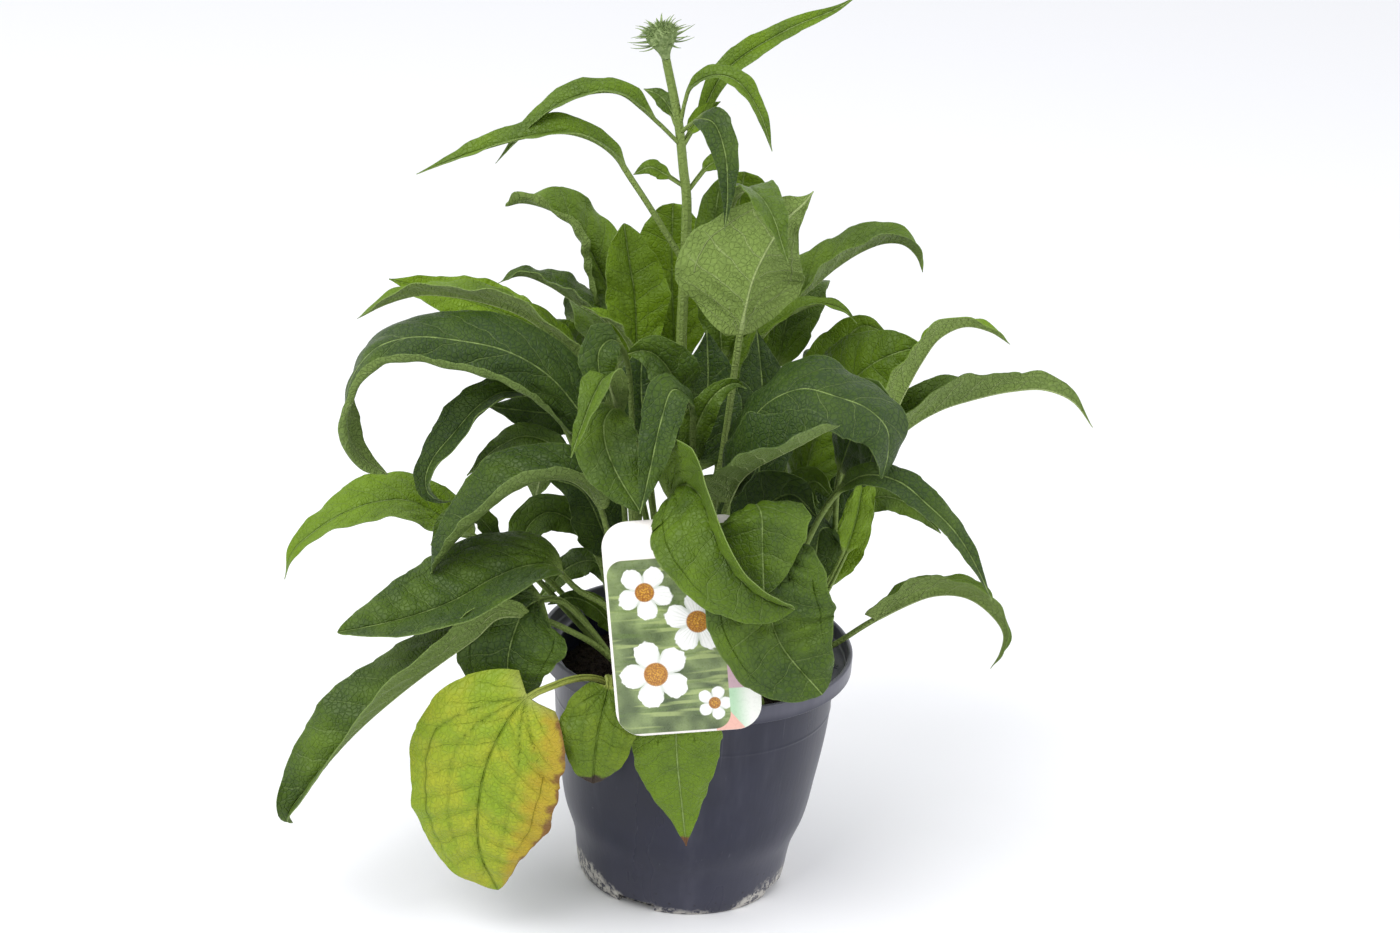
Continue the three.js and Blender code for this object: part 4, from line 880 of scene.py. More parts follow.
             (173, -3, 190), (184, -6, 177), (183, -8, 165), (178, -10, 155)], cup=(36, 60), curl=(-10, -10),
             heart=6, face=(0, 0.1, 1), widest=0.3, tint=0.5),
        leaf(20, 1.7, [(87, 20, 258), (103, 21, 279), (117, 22, 295), (134, 23, 307), (154, 24, 315),
             (174, 24, 321), (194, 22, 324), (211, 19, 319), (224, 15, 305)], cup=(36, 74), curl=(-8, -8),
             face=(0, 0, 1), twist=-100, widest=0.3, tint=0.4),
        leaf(14, 1.6, [(84, 0, 277), (100, -2, 300), (109, -4, 325), (117, -6, 345), (126, -8, 361),
             (140, -8, 369), (155, -8, 367), (167, -8, 360)], cup=(24, 62), face=(0, -0.1, 1), widest=0.45,
             tint=0.75),
        leaf(30, 1.4, [(56, 10, 234), (58, 14, 271), (64, 18, 296), (76, 14, 318), (90, 6, 337),
             (105, 0, 348), (117, -6, 354)], cup=(-8, 10), curl=(-20, -26), face=(-0.1, -1, 0.9), widest=0.42,
             fullness=1.3, tint=0.5, quilt=1.5),
        leaf(12, 1.2, [(50, -20, 239), (53, -25, 264), (61, -30, 275), (74, -35, 266)], tint=0.3),
        leaf(21, 2.4, [(71, 0, 187), (75, -6, 221), (75, -14, 239), (68, -22, 242), (66, -27, 229),
             (67, -28, 206)], face=(0, -1, 0.4), tint=0.15),
        leaf(22, 1.4, [(81, 6, 212), (76, 12, 238), (71, 16, 262), (66, 16, 284)], face=(0.1, -1, 0.4),
             tint=0.05),
    ]),
    "northeast": dict(foot=(24, 38), radius=10, face=(0, -1, 0.5), leaves=[
        leaf(17, 1.4, [(54, 45, 259), (64, 54, 299), (72, 60, 325), (85, 62, 342), (101, 60, 339)], tint=0.6),
        leaf(14, 1.2, [(4, 22, 315), (-3, 27, 362), (-8, 30, 398), (-8, 34, 418), (-6, 36, 434)],
             cup=(20, 20), widest=0.5, fullness=1.2, tint=0.4),
        leaf(24, 1.5, [(18, 50, 296), (13, 58, 335), (7, 64, 376), (5, 66, 404), (7, 62, 432)], cup=(12, 12),
             widest=0.55, fullness=0.8, tint=0.65, quilt=1.5),
        leaf(12, 4.2, [(0, 28, 300), (-4, 28, 362), (-2, 12, 404), (1, -6, 431), (9, -28, 446),
             (18, -50, 446), (25, -63, 438), (30, -68, 426), (34, -70, 417)], cup=(20, 30),
             face=(0.4, -1, 0.5), tint=0.45),
        leaf(24, 1.5, [(8, 36, 297), (15, 42, 331), (33, 48, 351), (50, 54, 364), (66, 58, 379),
             (82, 58, 391), (95, 56, 397), (105, 54, 397), (113, 52, 391), (117, 50, 382)], cup=(38, 42),
             curl=(-16, -4), face=(0, -0.1, 1), twist=-50, widest=0.42, fullness=1.5, tint=0.5),
        leaf(26, 1.8, [(44, 66, 226), (60, 92, 286), (76, 112, 308), (92, 130, 298), (102, 142, 268)],
             face=(0, 0.5, 1), tint=0.35),
        leaf(21, 1.8, [(40, 70, 172), (54, 98, 200), (66, 120, 200), (76, 136, 178), (80, 144, 150)],
             cup=(16, 16), face=(0, 0.5, 1), tint=0.3),
        leaf(22, 1.8, [(28, 64, 244), (38, 88, 318), (44, 110, 350), (48, 130, 340), (50, 144, 310)],
             face=(0, 0.5, 1), tint=0.4),
        leaf(12, 1.2, [(8, 11, 294), (16, 15, 329), (29, 17, 351), (43, 17, 362), (57, 17, 368),
             (70, 15, 366), (79, 13, 359)], cup=(30, 40), face=(0, -0.2, 1), tint=0.6),
    ]),
    "north": dict(foot=(-10, 42), radius=10, face=(0, 0.5, 1), leaves=[
        leaf(20, 1.5, [(-46, 12, 302), (-49, 18, 337), (-52, 22, 363), (-57, 25, 385), (-61, 26, 405)],
             cup=(26, 26), face=(0.3, -1, 0.3), widest=0.5, fullness=1.5, tint=0.7),
        leaf(23, 1.5, [(-24, 38, 294), (-28, 46, 336), (-31, 52, 362), (-33, 58, 388), (-34, 60, 410)],
             cup=(12, 12), face=(0, -1, 0.3), widest=0.5, fullness=0.9, tint=0.8),
        leaf(26, 1.8, [(-16, 70, 220), (-30, 100, 280), (-48, 130, 300), (-62, 156, 285), (-70, 172, 255)],
             cup=(12, 12), tint=0.3),
        leaf(24, 1.8, [(2, 74, 210), (10, 106, 262), (22, 134, 272), (34, 158, 250), (40, 172, 222)],
             cup=(16, 16), tint=0.3),
        leaf(24, 1.8, [(-6, 62, 260), (-2, 84, 340), (4, 104, 378), (8, 124, 370), (10, 138, 342)],
             tint=0.35),
        leaf(23, 1.8, [(-51, 62, 257), (-66, 86, 306), (-76, 108, 325), (-82, 128, 310), (-83, 140, 280)],
             cup=(16, 16), tint=0.3),
        leaf(18, 1.6, [(-12, 84, 178), (-8, 112, 196), (-4, 138, 184), (-2, 154, 150), (-4, 160, 118)],
             tint=0.35),
    ]),
    "heart": dict(foot=(-8, -14), radius=8, face=(0, -1, 0.6), leaves=[
        leaf(16, 2, [(-13, -28, 294), (-20, -36, 321), (-27, -42, 340), (-37, -46, 351), (-44, -49, 353),
             (-51, -50, 351)], cup=(40, 20), face=(0, -1, 0.5), fullness=1.3, tint=0.35),
        leaf(22, 1.4, [(8, -26, 200), (28, -36, 252), (48, -46, 272), (64, -54, 262)], tint=0.05),
        leaf(43, 3, [(7, -20, 289), (9, -30, 324), (11, -38, 363), (13, -42, 384), (16, -43, 400),
             (23, -40, 417), (32, -32, 431), (41, -25, 439), (46, -20, 445)], cup=(66, 4), curl=(-30, -10),
             heart=5, face=(0.2, 1, 0), wave=2.6, widest=0.36, fullness=2.4, tint=0.65, quilt=1.7),
        leaf(18, 1.4, [(-36, -16, 269), (-41, -13, 298), (-44, -11, 323), (-44, -11, 345)],
             face=(0.1, -1, 0.4), tint=0.0),
        leaf(22, 1.4, [(-7, -16, 258), (-6, -14, 286), (-5, -12, 323), (-8, -12, 356)], face=(0.2, -1, 0.4),
             tint=0.05),
        leaf(22, 1.4, [(27, -4, 237), (29, -2, 281), (27, 0, 318), (21, 4, 353)], face=(0.2, -1, 0.4),
             tint=0.0),
    ]),
}
print(sum(len(plan["leaves"]) for plan in SHOOTS.values()), "leaves on", len(SHOOTS), "shoots")

# %% The crown of a shoot
SOIL_TOP = 128.0
CROWN_HEIGHT, CROWN_SINK = 6.5, 12.0
CROWN_SIDES, CROWN_ROWS = 30, 9


def crown(body, x, y, radius, seed):
    """The knob of leaf bases that a shoot's stalks rise from: furrowed, and rounded off on top."""
    angle = np.linspace(0, 2 * np.pi, CROWN_SIDES, endpoint=False)[::-1]
    share = np.linspace(0, 1, CROWN_ROWS)[:, None]
    height = SOIL_TOP - CROWN_SINK + (CROWN_HEIGHT + CROWN_SINK) * np.sin(share * np.pi / 2)
    furrow = 1 + 0.06 * np.sin(9 * angle + 6 * draw(seed)) + 0.04 * np.sin(5 * angle + 3 * share)
    reach = radius * 0.98 * np.sqrt(np.clip(1 - share**3, 0.001, 1)) * furrow
    flat = layered(radius * angle, height, seed)
    body.add_rings(rings_round(reach, angle, height, x, y), {**BARE, "flat": flat, "leaf": (0.4, 0.0, 0.5)})


print("crowns stand", CROWN_HEIGHT, "mm above the soil, whose top is at", SOIL_TOP, "mm")

# %% All the shoots
def shoot(side, plan, index):
    """A crown with its leaves, which set off a little way out from its middle."""
    body = Body()
    x, y = plan["foot"]
    crown(body, x, y, plan["radius"], index)
    for i, row in enumerate(plan["leaves"]):
        px, py, _ = row["route"][0]
        reach = math.hypot(px - x, py - y) or 1
        step = 0.4 * plan["radius"]
        foot = (x + step * (px - x) / reach, y + step * (py - y) / reach, SOIL_TOP + 1)
        body.add_leaf(grow({"face": plan["face"], **row}, foot, 10 * index + i))
    settle(f"shoot_{side}", body.mesh(f"shoot_{side}", LEAF_GREEN), f"leafy_shoot_{side}")


for index, (side, plan) in enumerate(SHOOTS.items()):
    shoot(side, plan, index)

# %% [markdown]
# ## Two old leaves
#
# The lowest leaves have had their day: they turn lime yellow from the edge inwards while the veins stay
# green, and one edge dries through amber to brown. They grow by the same rule as the others, on stalks that
# bend over the pot's rim, but they are flatter, broader and more quilted. The big one is closest to the eye,
# so it gets the most points.

# %% The old leaves' feet and routes
OLD_LEAVES = {
    "yellow_leaf": ((-30, -56),
        leaf(46, 4, [(-52, -74, 158), (-67, -88, 165), (-81, -99, 164), (-93, -107, 160), (-104, -112, 146),
             (-114, -115, 121), (-118, -116, 91), (-116, -113, 61), (-105, -108, 34)], cup=(8, 4), heart=9,
             face=(-0.15, -1, 0.3), fullness=1.2, tint=0.5, quilt=2.2)),
    "yellow_leaf_small": ((-17, -58),
        leaf(22, 2.3, [(-49, -78, 163), (-48, -92, 165), (-49, -102, 160), (-52, -109, 144), (-53, -114, 128),
             (-53, -116, 113)], cup=(6, 6), heart=7, face=(0, -1, 0.3), widest=0.42, fullness=1.1, tint=0.5,
             quilt=1.6)),
}
OLD_CROWN_RADIUS = 4.0
print("points on the old leaves' routes:", [len(row["route"]) for _, row in OLD_LEAVES.values()])

# %% The finish of a fading leaf
AMBER, DEAD_BROWN = rgb(178, 148, 44), rgb(116, 78, 46)
TIP_BROWN, OLD_STALK = rgb(52, 42, 32), rgb(150, 160, 76)


def old_leaf_finish(name, flesh, warm, vein, amber_from, amber_to, brown_tip):
    """Amber and brown spread in from the edge between two shares of the half width, left being negative."""
    f = Finish(name, rough=0.5, specular=0.28)
    lines = vein_lines(f, wander=0.7)
    under = f.mark("underside", "Fac")
    patch = f.grain(lines.flat, 0.035, 3, 0.6)
    ragged = lines.across + (f.grain(lines.flat, 0.09, 3) - 0.5) * 0.55
    tip = lines.t + f.grain(lines.flat, 0.15, 2) * 0.1
    outwards = math.copysign(1, amber_to)
    colour = f.coats(
        f.blend(f.fade(patch, 0.35, 0.7), flesh, warm),
        (f.fade(f.grain(lines.flat, 0.4, 2), 0.45, 0.75) * 0.14, vein),
        (f.most(lines.shadow, lines.broad) * 0.28, vein),
        (f.fade_out(lines.net, 0.0, 0.8) * 0.14, vein),
        (f.fade(ragged, amber_from, amber_to) * 0.8, AMBER),
        (f.most(lines.mid, lines.long * 0.9, lines.side * 0.8) * 0.24, vein),
        (f.fade(ragged, amber_to + 0.02 * outwards, amber_to + 0.14 * outwards) * 0.9, DEAD_BROWN),
        (f.fade(tip, 0.95, 0.985) * brown_tip, TIP_BROWN),
        (f.fade_out(lines.t, 0.0, 0.05) * 0.9, OLD_STALK),
        (under * 0.45, OLD_STALK))
    return f.wear(Base_Color=colour, Roughness=0.42 + patch * 0.2, Normal=vein_bump(f, lines, under))


LIME, WARM_LIME, LIME_VEIN = rgb(132, 156, 34), rgb(164, 170, 44), rgb(88, 112, 28)
OLIVE, WARM_OLIVE, OLIVE_VEIN = rgb(88, 112, 18), rgb(110, 130, 26), rgb(62, 84, 18)
OLD_FINISHES = {
    "yellow_leaf": old_leaf_finish(
        "leaf_lime", LIME, WARM_LIME, LIME_VEIN, amber_from=-0.4, amber_to=-0.86, brown_tip=0.0),
    "yellow_leaf_small": old_leaf_finish(
        "leaf_olive", OLIVE, WARM_OLIVE, OLIVE_VEIN, amber_from=1.3, amber_to=1.5, brown_tip=1.0),
}
print("old leaves wear", ", ".join(finish.name for finish in OLD_FINISHES.values()))

# %% The old leaves
for i, (name, (foot, row)) in enumerate(OLD_LEAVES.items()):
    body = Body()
    crown(body, *foot, OLD_CROWN_RADIUS, 60 + i)
    body.add_leaf(grow(row, (*foot, SOIL_TOP + 1), 200 + i))
    settle(f"{name}_blade", body.mesh(f"{name}_blade", OLD_FINISHES[name]), name)

# %% [markdown]
# ## Growing things by Geometry Nodes
#
# Hairs, bristles and crumbs repeat by the hundred, and each follows a rule about where it sits and how it
# leans. That is work for Geometry Nodes: a tree scatters one small shape over a surface or along a spiral.
# The helper below builds a tree with named inputs, and `baked` runs it and keeps the result as a plain mesh,
# so that nothing stays live.

# %% A helper for node trees
class Tree(Board):
    """A tree whose inputs are numbers, given by name with their values, and a material."""

    def __init__(self, name, **numbers):
        self.tree = bpy.data.node_groups.new(name, "GeometryNodeTree")
        super().__init__(self.tree)
        face = self.tree.interface
        kinds = {int: "NodeSocketInt", float: "NodeSocketFloat"}
        face.new_socket("Geometry", in_out="INPUT", socket_type="NodeSocketGeometry")
        for label, value in numbers.items():
            face.new_socket(label, in_out="INPUT", socket_type=kinds[type(value)]).default_value = value
        face.new_socket("Material", in_out="INPUT", socket_type="NodeSocketMaterial")
        face.new_socket("Geometry", in_out="OUTPUT", socket_type="NodeSocketGeometry")
        sockets = self.nodes.new("NodeGroupInput").outputs
        self.given = SimpleNamespace(**{socket.name: Wire(self, socket) for socket in sockets if socket.name})

    def vector(self, x=0.0, y=0.0, z=0.0):
        return self.node("ShaderNodeCombineXYZ", 0, (x, y, z))

    def turn(self, x, y, z):
        return self.node("FunctionNodeEulerToRotation", 0, [self.vector(x, y, z)])

    def chance(self, low, high, seed):
        """A random number for each point."""
        return self.node("FunctionNodeRandomValue", 1, {2: low, 3: high, "Seed": seed}, data_type="FLOAT")

    def bristle(self, length, radius, curl, sides, steps):
        """A tapering bristle that stands along Z and curls over towards X."""
        line = self.node("GeometryNodeCurveQuadraticBezier", 0, {
            "Resolution": steps, "Start": (0, 0, 0), "Middle": self.vector(z=length * 0.6),
            "End": self.vector(x=curl, z=length)})
        taper = (1.02 - self.node("GeometryNodeSplineParameter", "Factor")) ** 0.8
        ring = self.node("GeometryNodeCurvePrimitiveCircle", 0, {"Resolution": sides, "Radius": 1.0})
        return self.node("GeometryNodeCurveToMesh", 0, {
            "Curve": line, "Profile Curve": ring, "Fill Caps": True, "Scale": taper * radius})

    def repeat(self, shape, points, turn, scale):
        """The shape once at each point."""
        return self.node("GeometryNodeInstanceOnPoints", 0, {
            "Points": points, "Instance": shape, "Rotation": turn, "Scale": scale})

    def strew(self, shape, where, scale, turn=None):
        """The shape strewn where a test holds, upright on the carrier's faces unless it has its own turn."""
        given = self.given
        inputs = {"Mesh": given.Geometry, "Selection": where, "Density": given.Density, "Seed": given.Seed}
        points = self.node("GeometryNodeDistributePointsOnFaces", "Points", inputs)
        return self.repeat(shape, points, turn or points.other("Rotation"), scale)

    def end(self, geometry):
        shape = self.node("GeometryNodeRealizeInstances", 0, [geometry])
        shape = self.node("GeometryNodeSetMaterial", 0, {"Geometry": shape, "Material": self.given.Material})
        self.put(self.nodes.new("NodeGroupOutput").inputs[0], shape)
        return self.tree


def baked(thing, name, kind, material=None, **settings):
    """Runs one modifier on an object, keeps the outcome as a plain mesh, and takes the modifier off again."""
    modifier = thing.modifiers.new(name, kind)
    for key, value in settings.items():
        setattr(modifier, key, value)
    if material:
        modifier[modifier.node_group.interface.items_tree["Material"].identifier] = material
    mesh = bpy.data.meshes.new_from_object(thing.evaluated_get(bpy.context.evaluated_depsgraph_get()))
    thing.modifiers.remove(modifier)
    mesh.name = name
    return smooth(mesh)


print("a tree knows how to", ", ".join(n for n in vars(Tree) if not n.startswith("_")))

# %% [markdown]
# ## The flowering stem
#
# The stem is a round bar that thins towards the bud, faintly ribbed lengthways, with pale green skin and
# short stiff hairs. A curve with a bevel would do for the bar, but its ribs have to run along it and the
# leaves have to join it, so it is laid in rings like the leaves and goes into the same mesh. The hairs come
# from a tree that scatters bristles over the finished stem.

# %% The stem's leaves
STEM_LEAVES = [
    leaf(10, 1, [(-30, 0, 460), (-46, -8, 476), (-67, -12, 491), (-94, -16, 486), (-115, -18, 469),
         (-133, -20, 447)], cup=(35, 35), face=(0, -0.3, 1), tint=0.5),
    leaf(11, 1.4, [(-24, 0, 392), (-55, -14, 440), (-71, -20, 461), (-92, -24, 469), (-113, -26, 466),
         (-144, -28, 455), (-176, -30, 440)], cup=(35, 40), face=(0, -0.3, 1), stem=1, tint=0.55),
    leaf(5, 0.8, [(-26, 0, 436), (-38, -4, 444), (-47, -6, 448), (-56, -6, 443)], tint=0.6),
    leaf(5, 0.6, [(-34, 0, 472), (-38, 4, 480), (-45, 10, 486), (-54, 14, 488)], tint=0.5),
    leaf(7.5, 0.8, [(-30, 0, 458), (-20, 8, 478), (-8, 16, 502), (24, 26, 525), (52, 34, 538), (63, 36, 546)],
         cup=(20, 30), tint=0.6),
    leaf(7, 0.8, [(-32, 0, 470), (-27, -4, 495), (-14, -8, 504), (-1, -12, 502), (12, -16, 487),
         (21, -20, 466)], cup=(30, 30), face=(0, -0.5, 1), tint=0.55),
    leaf(9, 0.8, [(-31, 0, 468), (-20, -18, 481), (-12, -28, 481), (-5, -36, 467), (-2, -40, 445),
         (-2, -41, 424)], cup=(20, 20), widest=0.25, tint=0.15),
    leaf(5, 0.6, [(-29, 0, 462), (-24, 4, 471), (-18, 8, 480), (-10, 10, 485)], tint=0.95),
    leaf(5, 0.8, [(-26, 0, 432), (-14, 8, 448), (-7, 10, 452), (2, 12, 454)], tint=0.6),
]
STEM_LEAF_FORM = dict(stem=0.7, wave=0.8, face=(0, -1, 0.8), quilt=0.6)
print(len(STEM_LEAVES), "leaves on the stem")

# %% The stem
STEM_ROUTE = [(0, 2, 118), (0, 2, 128), (-6, 0, 180), (-15, 0, 258), (-22, 0, 339), (-25, 0, 429),
              (-28, 0, 446), (-33, 0, 475), (-42, 0, 509)]
STEM_RADIUS_FOOT, STEM_RADIUS_TOP = 4.0, 2.4
STEM_ROWS, STEM_SIDES, STEM_RIBS = 170, 32, 8


def stem_rings(path):
    """The stem's rings, and how far round and along it each point lies."""
    share = np.linspace(0, 1, STEM_ROWS)
    middle, forward = along(path, share)
    side = unit(np.array([1.0, 0, 0]) - forward * forward[:, :1])
    up = np.cross(side, forward)
    angle, share = np.linspace(np.pi, -np.pi, STEM_SIDES, endpoint=False), share[:, None]
    rib = 1 + 0.045 * np.cos(STEM_RIBS * angle + 2.5 * share) + 0.012 * np.sin(31 * share + angle)
    radius = (STEM_RADIUS_FOOT + (STEM_RADIUS_TOP - STEM_RADIUS_FOOT) * share) * rib
    rings = (middle[:, None] + side[:, None] * (radius * np.cos(angle))[..., None]
             + up[:, None] * (radius * np.sin(angle))[..., None])
    return rings, layered(radius * angle, share * path[1][-1], 5.0)


stem_path = smooth_path(STEM_ROUTE)
rings, flat = stem_rings(stem_path)
body = Body()
body.add_rings(rings, {**BARE, "flat": flat, "leaf": (0.5, 0.0, 0.5)})
for i, row in enumerate(STEM_LEAVES):
    foot, *route = row["route"]
    body.add_leaf(grow({**STEM_LEAF_FORM, **row, "route": route}, foot, 100 + i))
stem = settle("stem_with_leaves", body.mesh("stem_with_leaves", LEAF_GREEN), "flower_stem")

# %% The stem's hairs
HAIR_GREEN = plain_colour("hair_pale", rgb(150, 170, 112), 0.6)
STEM_LEAN = 0.08  # the stem's slope to the left
STEM_REACH = 0.012  # how far from it hairs still grow, in metres


def hair_tree():
    tree = Tree("stem_hairs", Density=50000.0, Length=0.0011, Radius=0.00009, Height=0.2, Seed=3)
    given = tree.given
    x, _, z = tree.split(tree.node("GeometryNodeInputPosition"))
    near_axis = tree.calc("LESS_THAN", abs(x + z * STEM_LEAN), STEM_REACH)
    where = tree.calc("GREATER_THAN", z, given.Height) * near_axis
    hair = tree.bristle(given.Length, given.Radius, given.Length * 0.3, sides=3, steps=2)
    return tree.end(tree.strew(hair, where, tree.chance(0.5, 1.2, 9)))


hairs = baked(stem, "stem_hairs", "NODES", HAIR_GREEN, node_group=hair_tree())
settle("stem_hairs", hairs, "flower_stem")

# %% [markdown]
# ## The bud
#
# Before it opens, a coneflower's head is a small green cone of stiff chaff: spikes crowd over its top, and
# pointed bracts curl out round its sides in whorls. The bracts are few and big enough to be laid out one by
# one. The spikes sit on a spiral that turns by the golden angle from each to the next. A tree makes that in
# one go: its points are counted off along the spiral, and each spike's lean and length follow from how far
# down the head it sits.

# %% The head and its bracts
HEAD_RADIUS, HEAD_HEIGHT, HEAD_ROWS, HEAD_SIDES = 8.8, 20.5, 40, 48
HEAD_OUTLINE = [(0.27, 0), (0.30, 0.08), (0.40, 0.2), (0.66, 0.36), (0.9, 0.5), (1, 0.63), (0.9, 0.77),
                (0.66, 0.88), (0.34, 0.955), (0.02, 0.98)]
BRACTS_ROUND, BRACT_STEPS, BRACT_SIDES = 9, 9, 6
# Whorls of bracts: the height and radius where they set off, the slope and turn in degrees, length, half
# width.
BRACT_WHORLS = [
    (8.4, 6.6, -16, 30, 10.5, 1.2), (11.2, 8.0, 6, 8, 11.5, 1.25), (14.0, 8.0, 26, -22, 11.0, 1.15),
    (16.8, 6.2, 50, -38, 8.5, 1.0), (18.8, 4.2, 66, -50, 6.0, 0.9),
]


def head_rings():
    r, z = np.array(HEAD_OUTLINE).T
    share = np.linspace(0, 1, HEAD_ROWS)
    known = np.linspace(0, 1, len(r))
    r, z = np.interp(share, known, r) * HEAD_RADIUS, np.interp(share, known, z) * HEAD_HEIGHT
    angle = np.linspace(0, 2 * np.pi, HEAD_SIDES, endpoint=False)
    return rings_round(r[:, None] * (1 + 0.05 * np.sin(13 * angle + 8 * share[:, None])), angle, z[:, None])


def bract_rings(height, radius, slope, turn, length, half, azimuth):
    """A flat, pointed bract that sets off at a slope and bends by a turn on its way."""
    outward = np.array([math.cos(azimuth), math.sin(azimuth), 0.0])
    sideways = np.array([math.sin(azimuth), -math.cos(azimuth), 0.0])
    middle = outward * radius + np.array([0.0, 0.0, height])
    around = np.linspace(0, 2 * np.pi, BRACT_SIDES, endpoint=False)[:, None]
    rings = []
    for share in np.linspace(0, 1, BRACT_STEPS + 1):
        angle = math.radians(slope + turn * share)
        ahead = outward * math.cos(angle) + np.array([0.0, 0.0, math.sin(angle)])
        normal = np.cross(sideways, ahead)
        width = half * (1 - 0.94 * share**1.6)
        thick = 0.25 * width + 0.08
        rings.append(middle + width * np.cos(around) * sideways - thick * np.sin(around) * normal)
        middle = middle + ahead * length / BRACT_STEPS
    return np.array(rings)


def add_bracts(body):
    for row, (height, radius, slope, turn, length, half) in enumerate(BRACT_WHORLS):
        for i in range(BRACTS_ROUND):
            vary = draw(13 * row + i) - 0.5
            azimuth = 2 * math.pi * (i + 0.5 * row + 0.5 * (draw(7 * row + 3 * i) - 0.5)) / BRACTS_ROUND
            own_slope, own_length = slope + 22 * vary, length * (1 + 0.35 * vary)
            body.add_rings(bract_rings(height, radius, own_slope, turn, own_length, half, azimuth), {})


print(len(BRACT_WHORLS) * BRACTS_ROUND, "bracts round a head", HEAD_HEIGHT, "mm high")

# %% The spikes
GOLDEN_ANGLE = math.pi * (3 - math.sqrt(5))


def spiral_tree():
    """Spikes on a golden spiral down a rounded head. Lengths are in metres and angles in radians."""
    tree = Tree("golden_spikes", Count=170, Radius=0.0078, Height=0.0075, Middle=0.0125, Spread=1.45,
                Lean=0.8, Short=0.0022, Long=0.006, Thick=0.0005, Curl=0.35, Seed=4)
    given = tree.given
    number = tree.node("GeometryNodeInputIndex")
    down = tree.calc("SQRT", (number + 0.5) / given.Count)
    polar, around = down * given.Spread, number * GOLDEN_ANGLE
    out = given.Radius * tree.calc("SINE", polar)
    place = tree.vector(out * tree.calc("COSINE", around), out * tree.calc("SINE", around),
                        given.Middle + given.Height * tree.calc("COSINE", polar))
    points = tree.node("GeometryNodePoints", 0, {"Count": given.Count, "Position": place})
    lean = polar * given.Lean + tree.chance(-0.16, 0.16, given.Seed)
    turn = tree.turn(0.0, lean, around + tree.chance(-0.2, 0.2, 8))
    outer = down ** 3.0
    size = (given.Short + outer * (given.Long - given.Short)) * tree.chance(0.7, 1.15, 6)
    slim = size * (0.55 + (1.0 - outer) * 1.6)
    spike = tree.bristle(1.0, given.Thick / given.Long, given.Curl, sides=5, steps=7)
    return tree.end(tree.repeat(spike, points, turn, tree.vector(slim, slim, size)))


print("each spike is turned by", round(math.degrees(GOLDEN_ANGLE), 2), "degrees from the last")

# %% The bud's finish
BUD_GREEN_DEEP, BUD_GREEN_TIP, BUD_GREEN_CLOUD = rgb(104, 124, 72), rgb(156, 174, 118), rgb(98, 122, 58)


def bud_finish():
    f = Finish("bud_green", rough=0.62, specular=0.3)
    spot, broad = f.grain(f.place(), 420.0, 2), f.grain(f.place(), 90.0, 1)
    colour = f.coats(f.blend(f.fade(spot, 0.3, 0.7), BUD_GREEN_DEEP, BUD_GREEN_TIP),
                     (broad * 0.5, BUD_GREEN_CLOUD))
    return f.wear(Base_Color=colour, Normal=f.bump(spot, 0.0003))


BUD_GREEN = bud_finish()
print(BUD_GREEN.name, "mixed from", len(BUD_GREEN.node_tree.nodes), "nodes")

# %% The bud on its stem
def bud_place():
    """Turns and moves a mesh made about Z onto the end of the stem."""
    fine, _, ahead = stem_path
    end, way = Vector(fine[-1]) * MM, Vector(ahead[-1])
    return Matrix.Translation(end + way * 0.35 * MM) @ way.to_track_quat("Z", "Y").to_matrix().to_4x4()


body = Body()
body.add_rings(head_rings(), {})
add_bracts(body)
carrier = stand("bud_carrier", bpy.data.meshes.new("bud_carrier"))
spikes = baked(carrier, "bud_spikes", "NODES", BUD_GREEN, node_group=spiral_tree())
for name, mesh in (("bud_head", body.mesh("bud_head", BUD_GREEN)), ("bud_spikes", spikes)):
    mesh.transform(bud_place())
    settle(name, mesh, "flower_bud")
bpy.data.objects.remove(carrier)

# %% [markdown]
# ## The nursery pot
#
# The pot is blown and moulded from thin dark plastic: a belly that narrows to the foot, a broad lip that
# hangs over, and notches at the foot that let water out. A round thing is best turned from its outline. The
# outline is the solid's own, with its corners rounded and the faint ring that the mould leaves under the lip,
# and the notches are cut out with a Boolean.

# %% The pot's outline, in millimetres
POT_BELLY = [(63, 0), (64.5, 4), (68, 27), (75, 48), (79, 72), (83.5, 105), (85.5, 140)]
POT_HEIGHT, POT_RIM_RADIUS, LIP_BAND, LIP_WALL, POT_WALL, POT_FLOOR = 155.0, 95.0, 11.0, 3.0, 2.0, 2.5
POT_SIDES, POT_SHARP = 144, 40
AXIS = 0.01  # how near an outline comes to the axis that it is turned about
FOOT_RING = 40.0  # the radius of a ring of points on the flat underside
RING_HEIGHT, RING_STEP, RING_WIDTH = 119.0, 0.28, 0.7


def belly_outline():
    """The outside from the foot to the lip. The foot's edge is rounded, and the mould's ring stands out."""
    fine, _, _ = smooth_path([(r, 0, z) for r, z in POT_BELLY])
    heights = np.concatenate([[0.0, 0.4, 1.2], np.arange(3, 117, 4.0), np.arange(117, 121.1, 0.5),
                              np.arange(124, 141, 4.0)])
    radii = np.interp(heights, fine[:, 2], fine[:, 0])
    radii[:2] -= 0.9, 0.25
    return radii + RING_STEP * np.exp(-(((heights - RING_HEIGHT) / RING_WIDTH) ** 2)), heights


def rounded(corner, start, end, size, steps=4):
    """Points round a corner of the outline."""
    turn = np.linspace(0, 1, steps + 1)[:, None]
    a, b, c = (np.array(p, float) for p in (corner, start, end))
    enter, leave = a + unit(b - a) * size, a + unit(c - a) * size
    return ((1 - turn) ** 2 * enter + 2 * turn * (1 - turn) * a + turn**2 * leave).tolist()


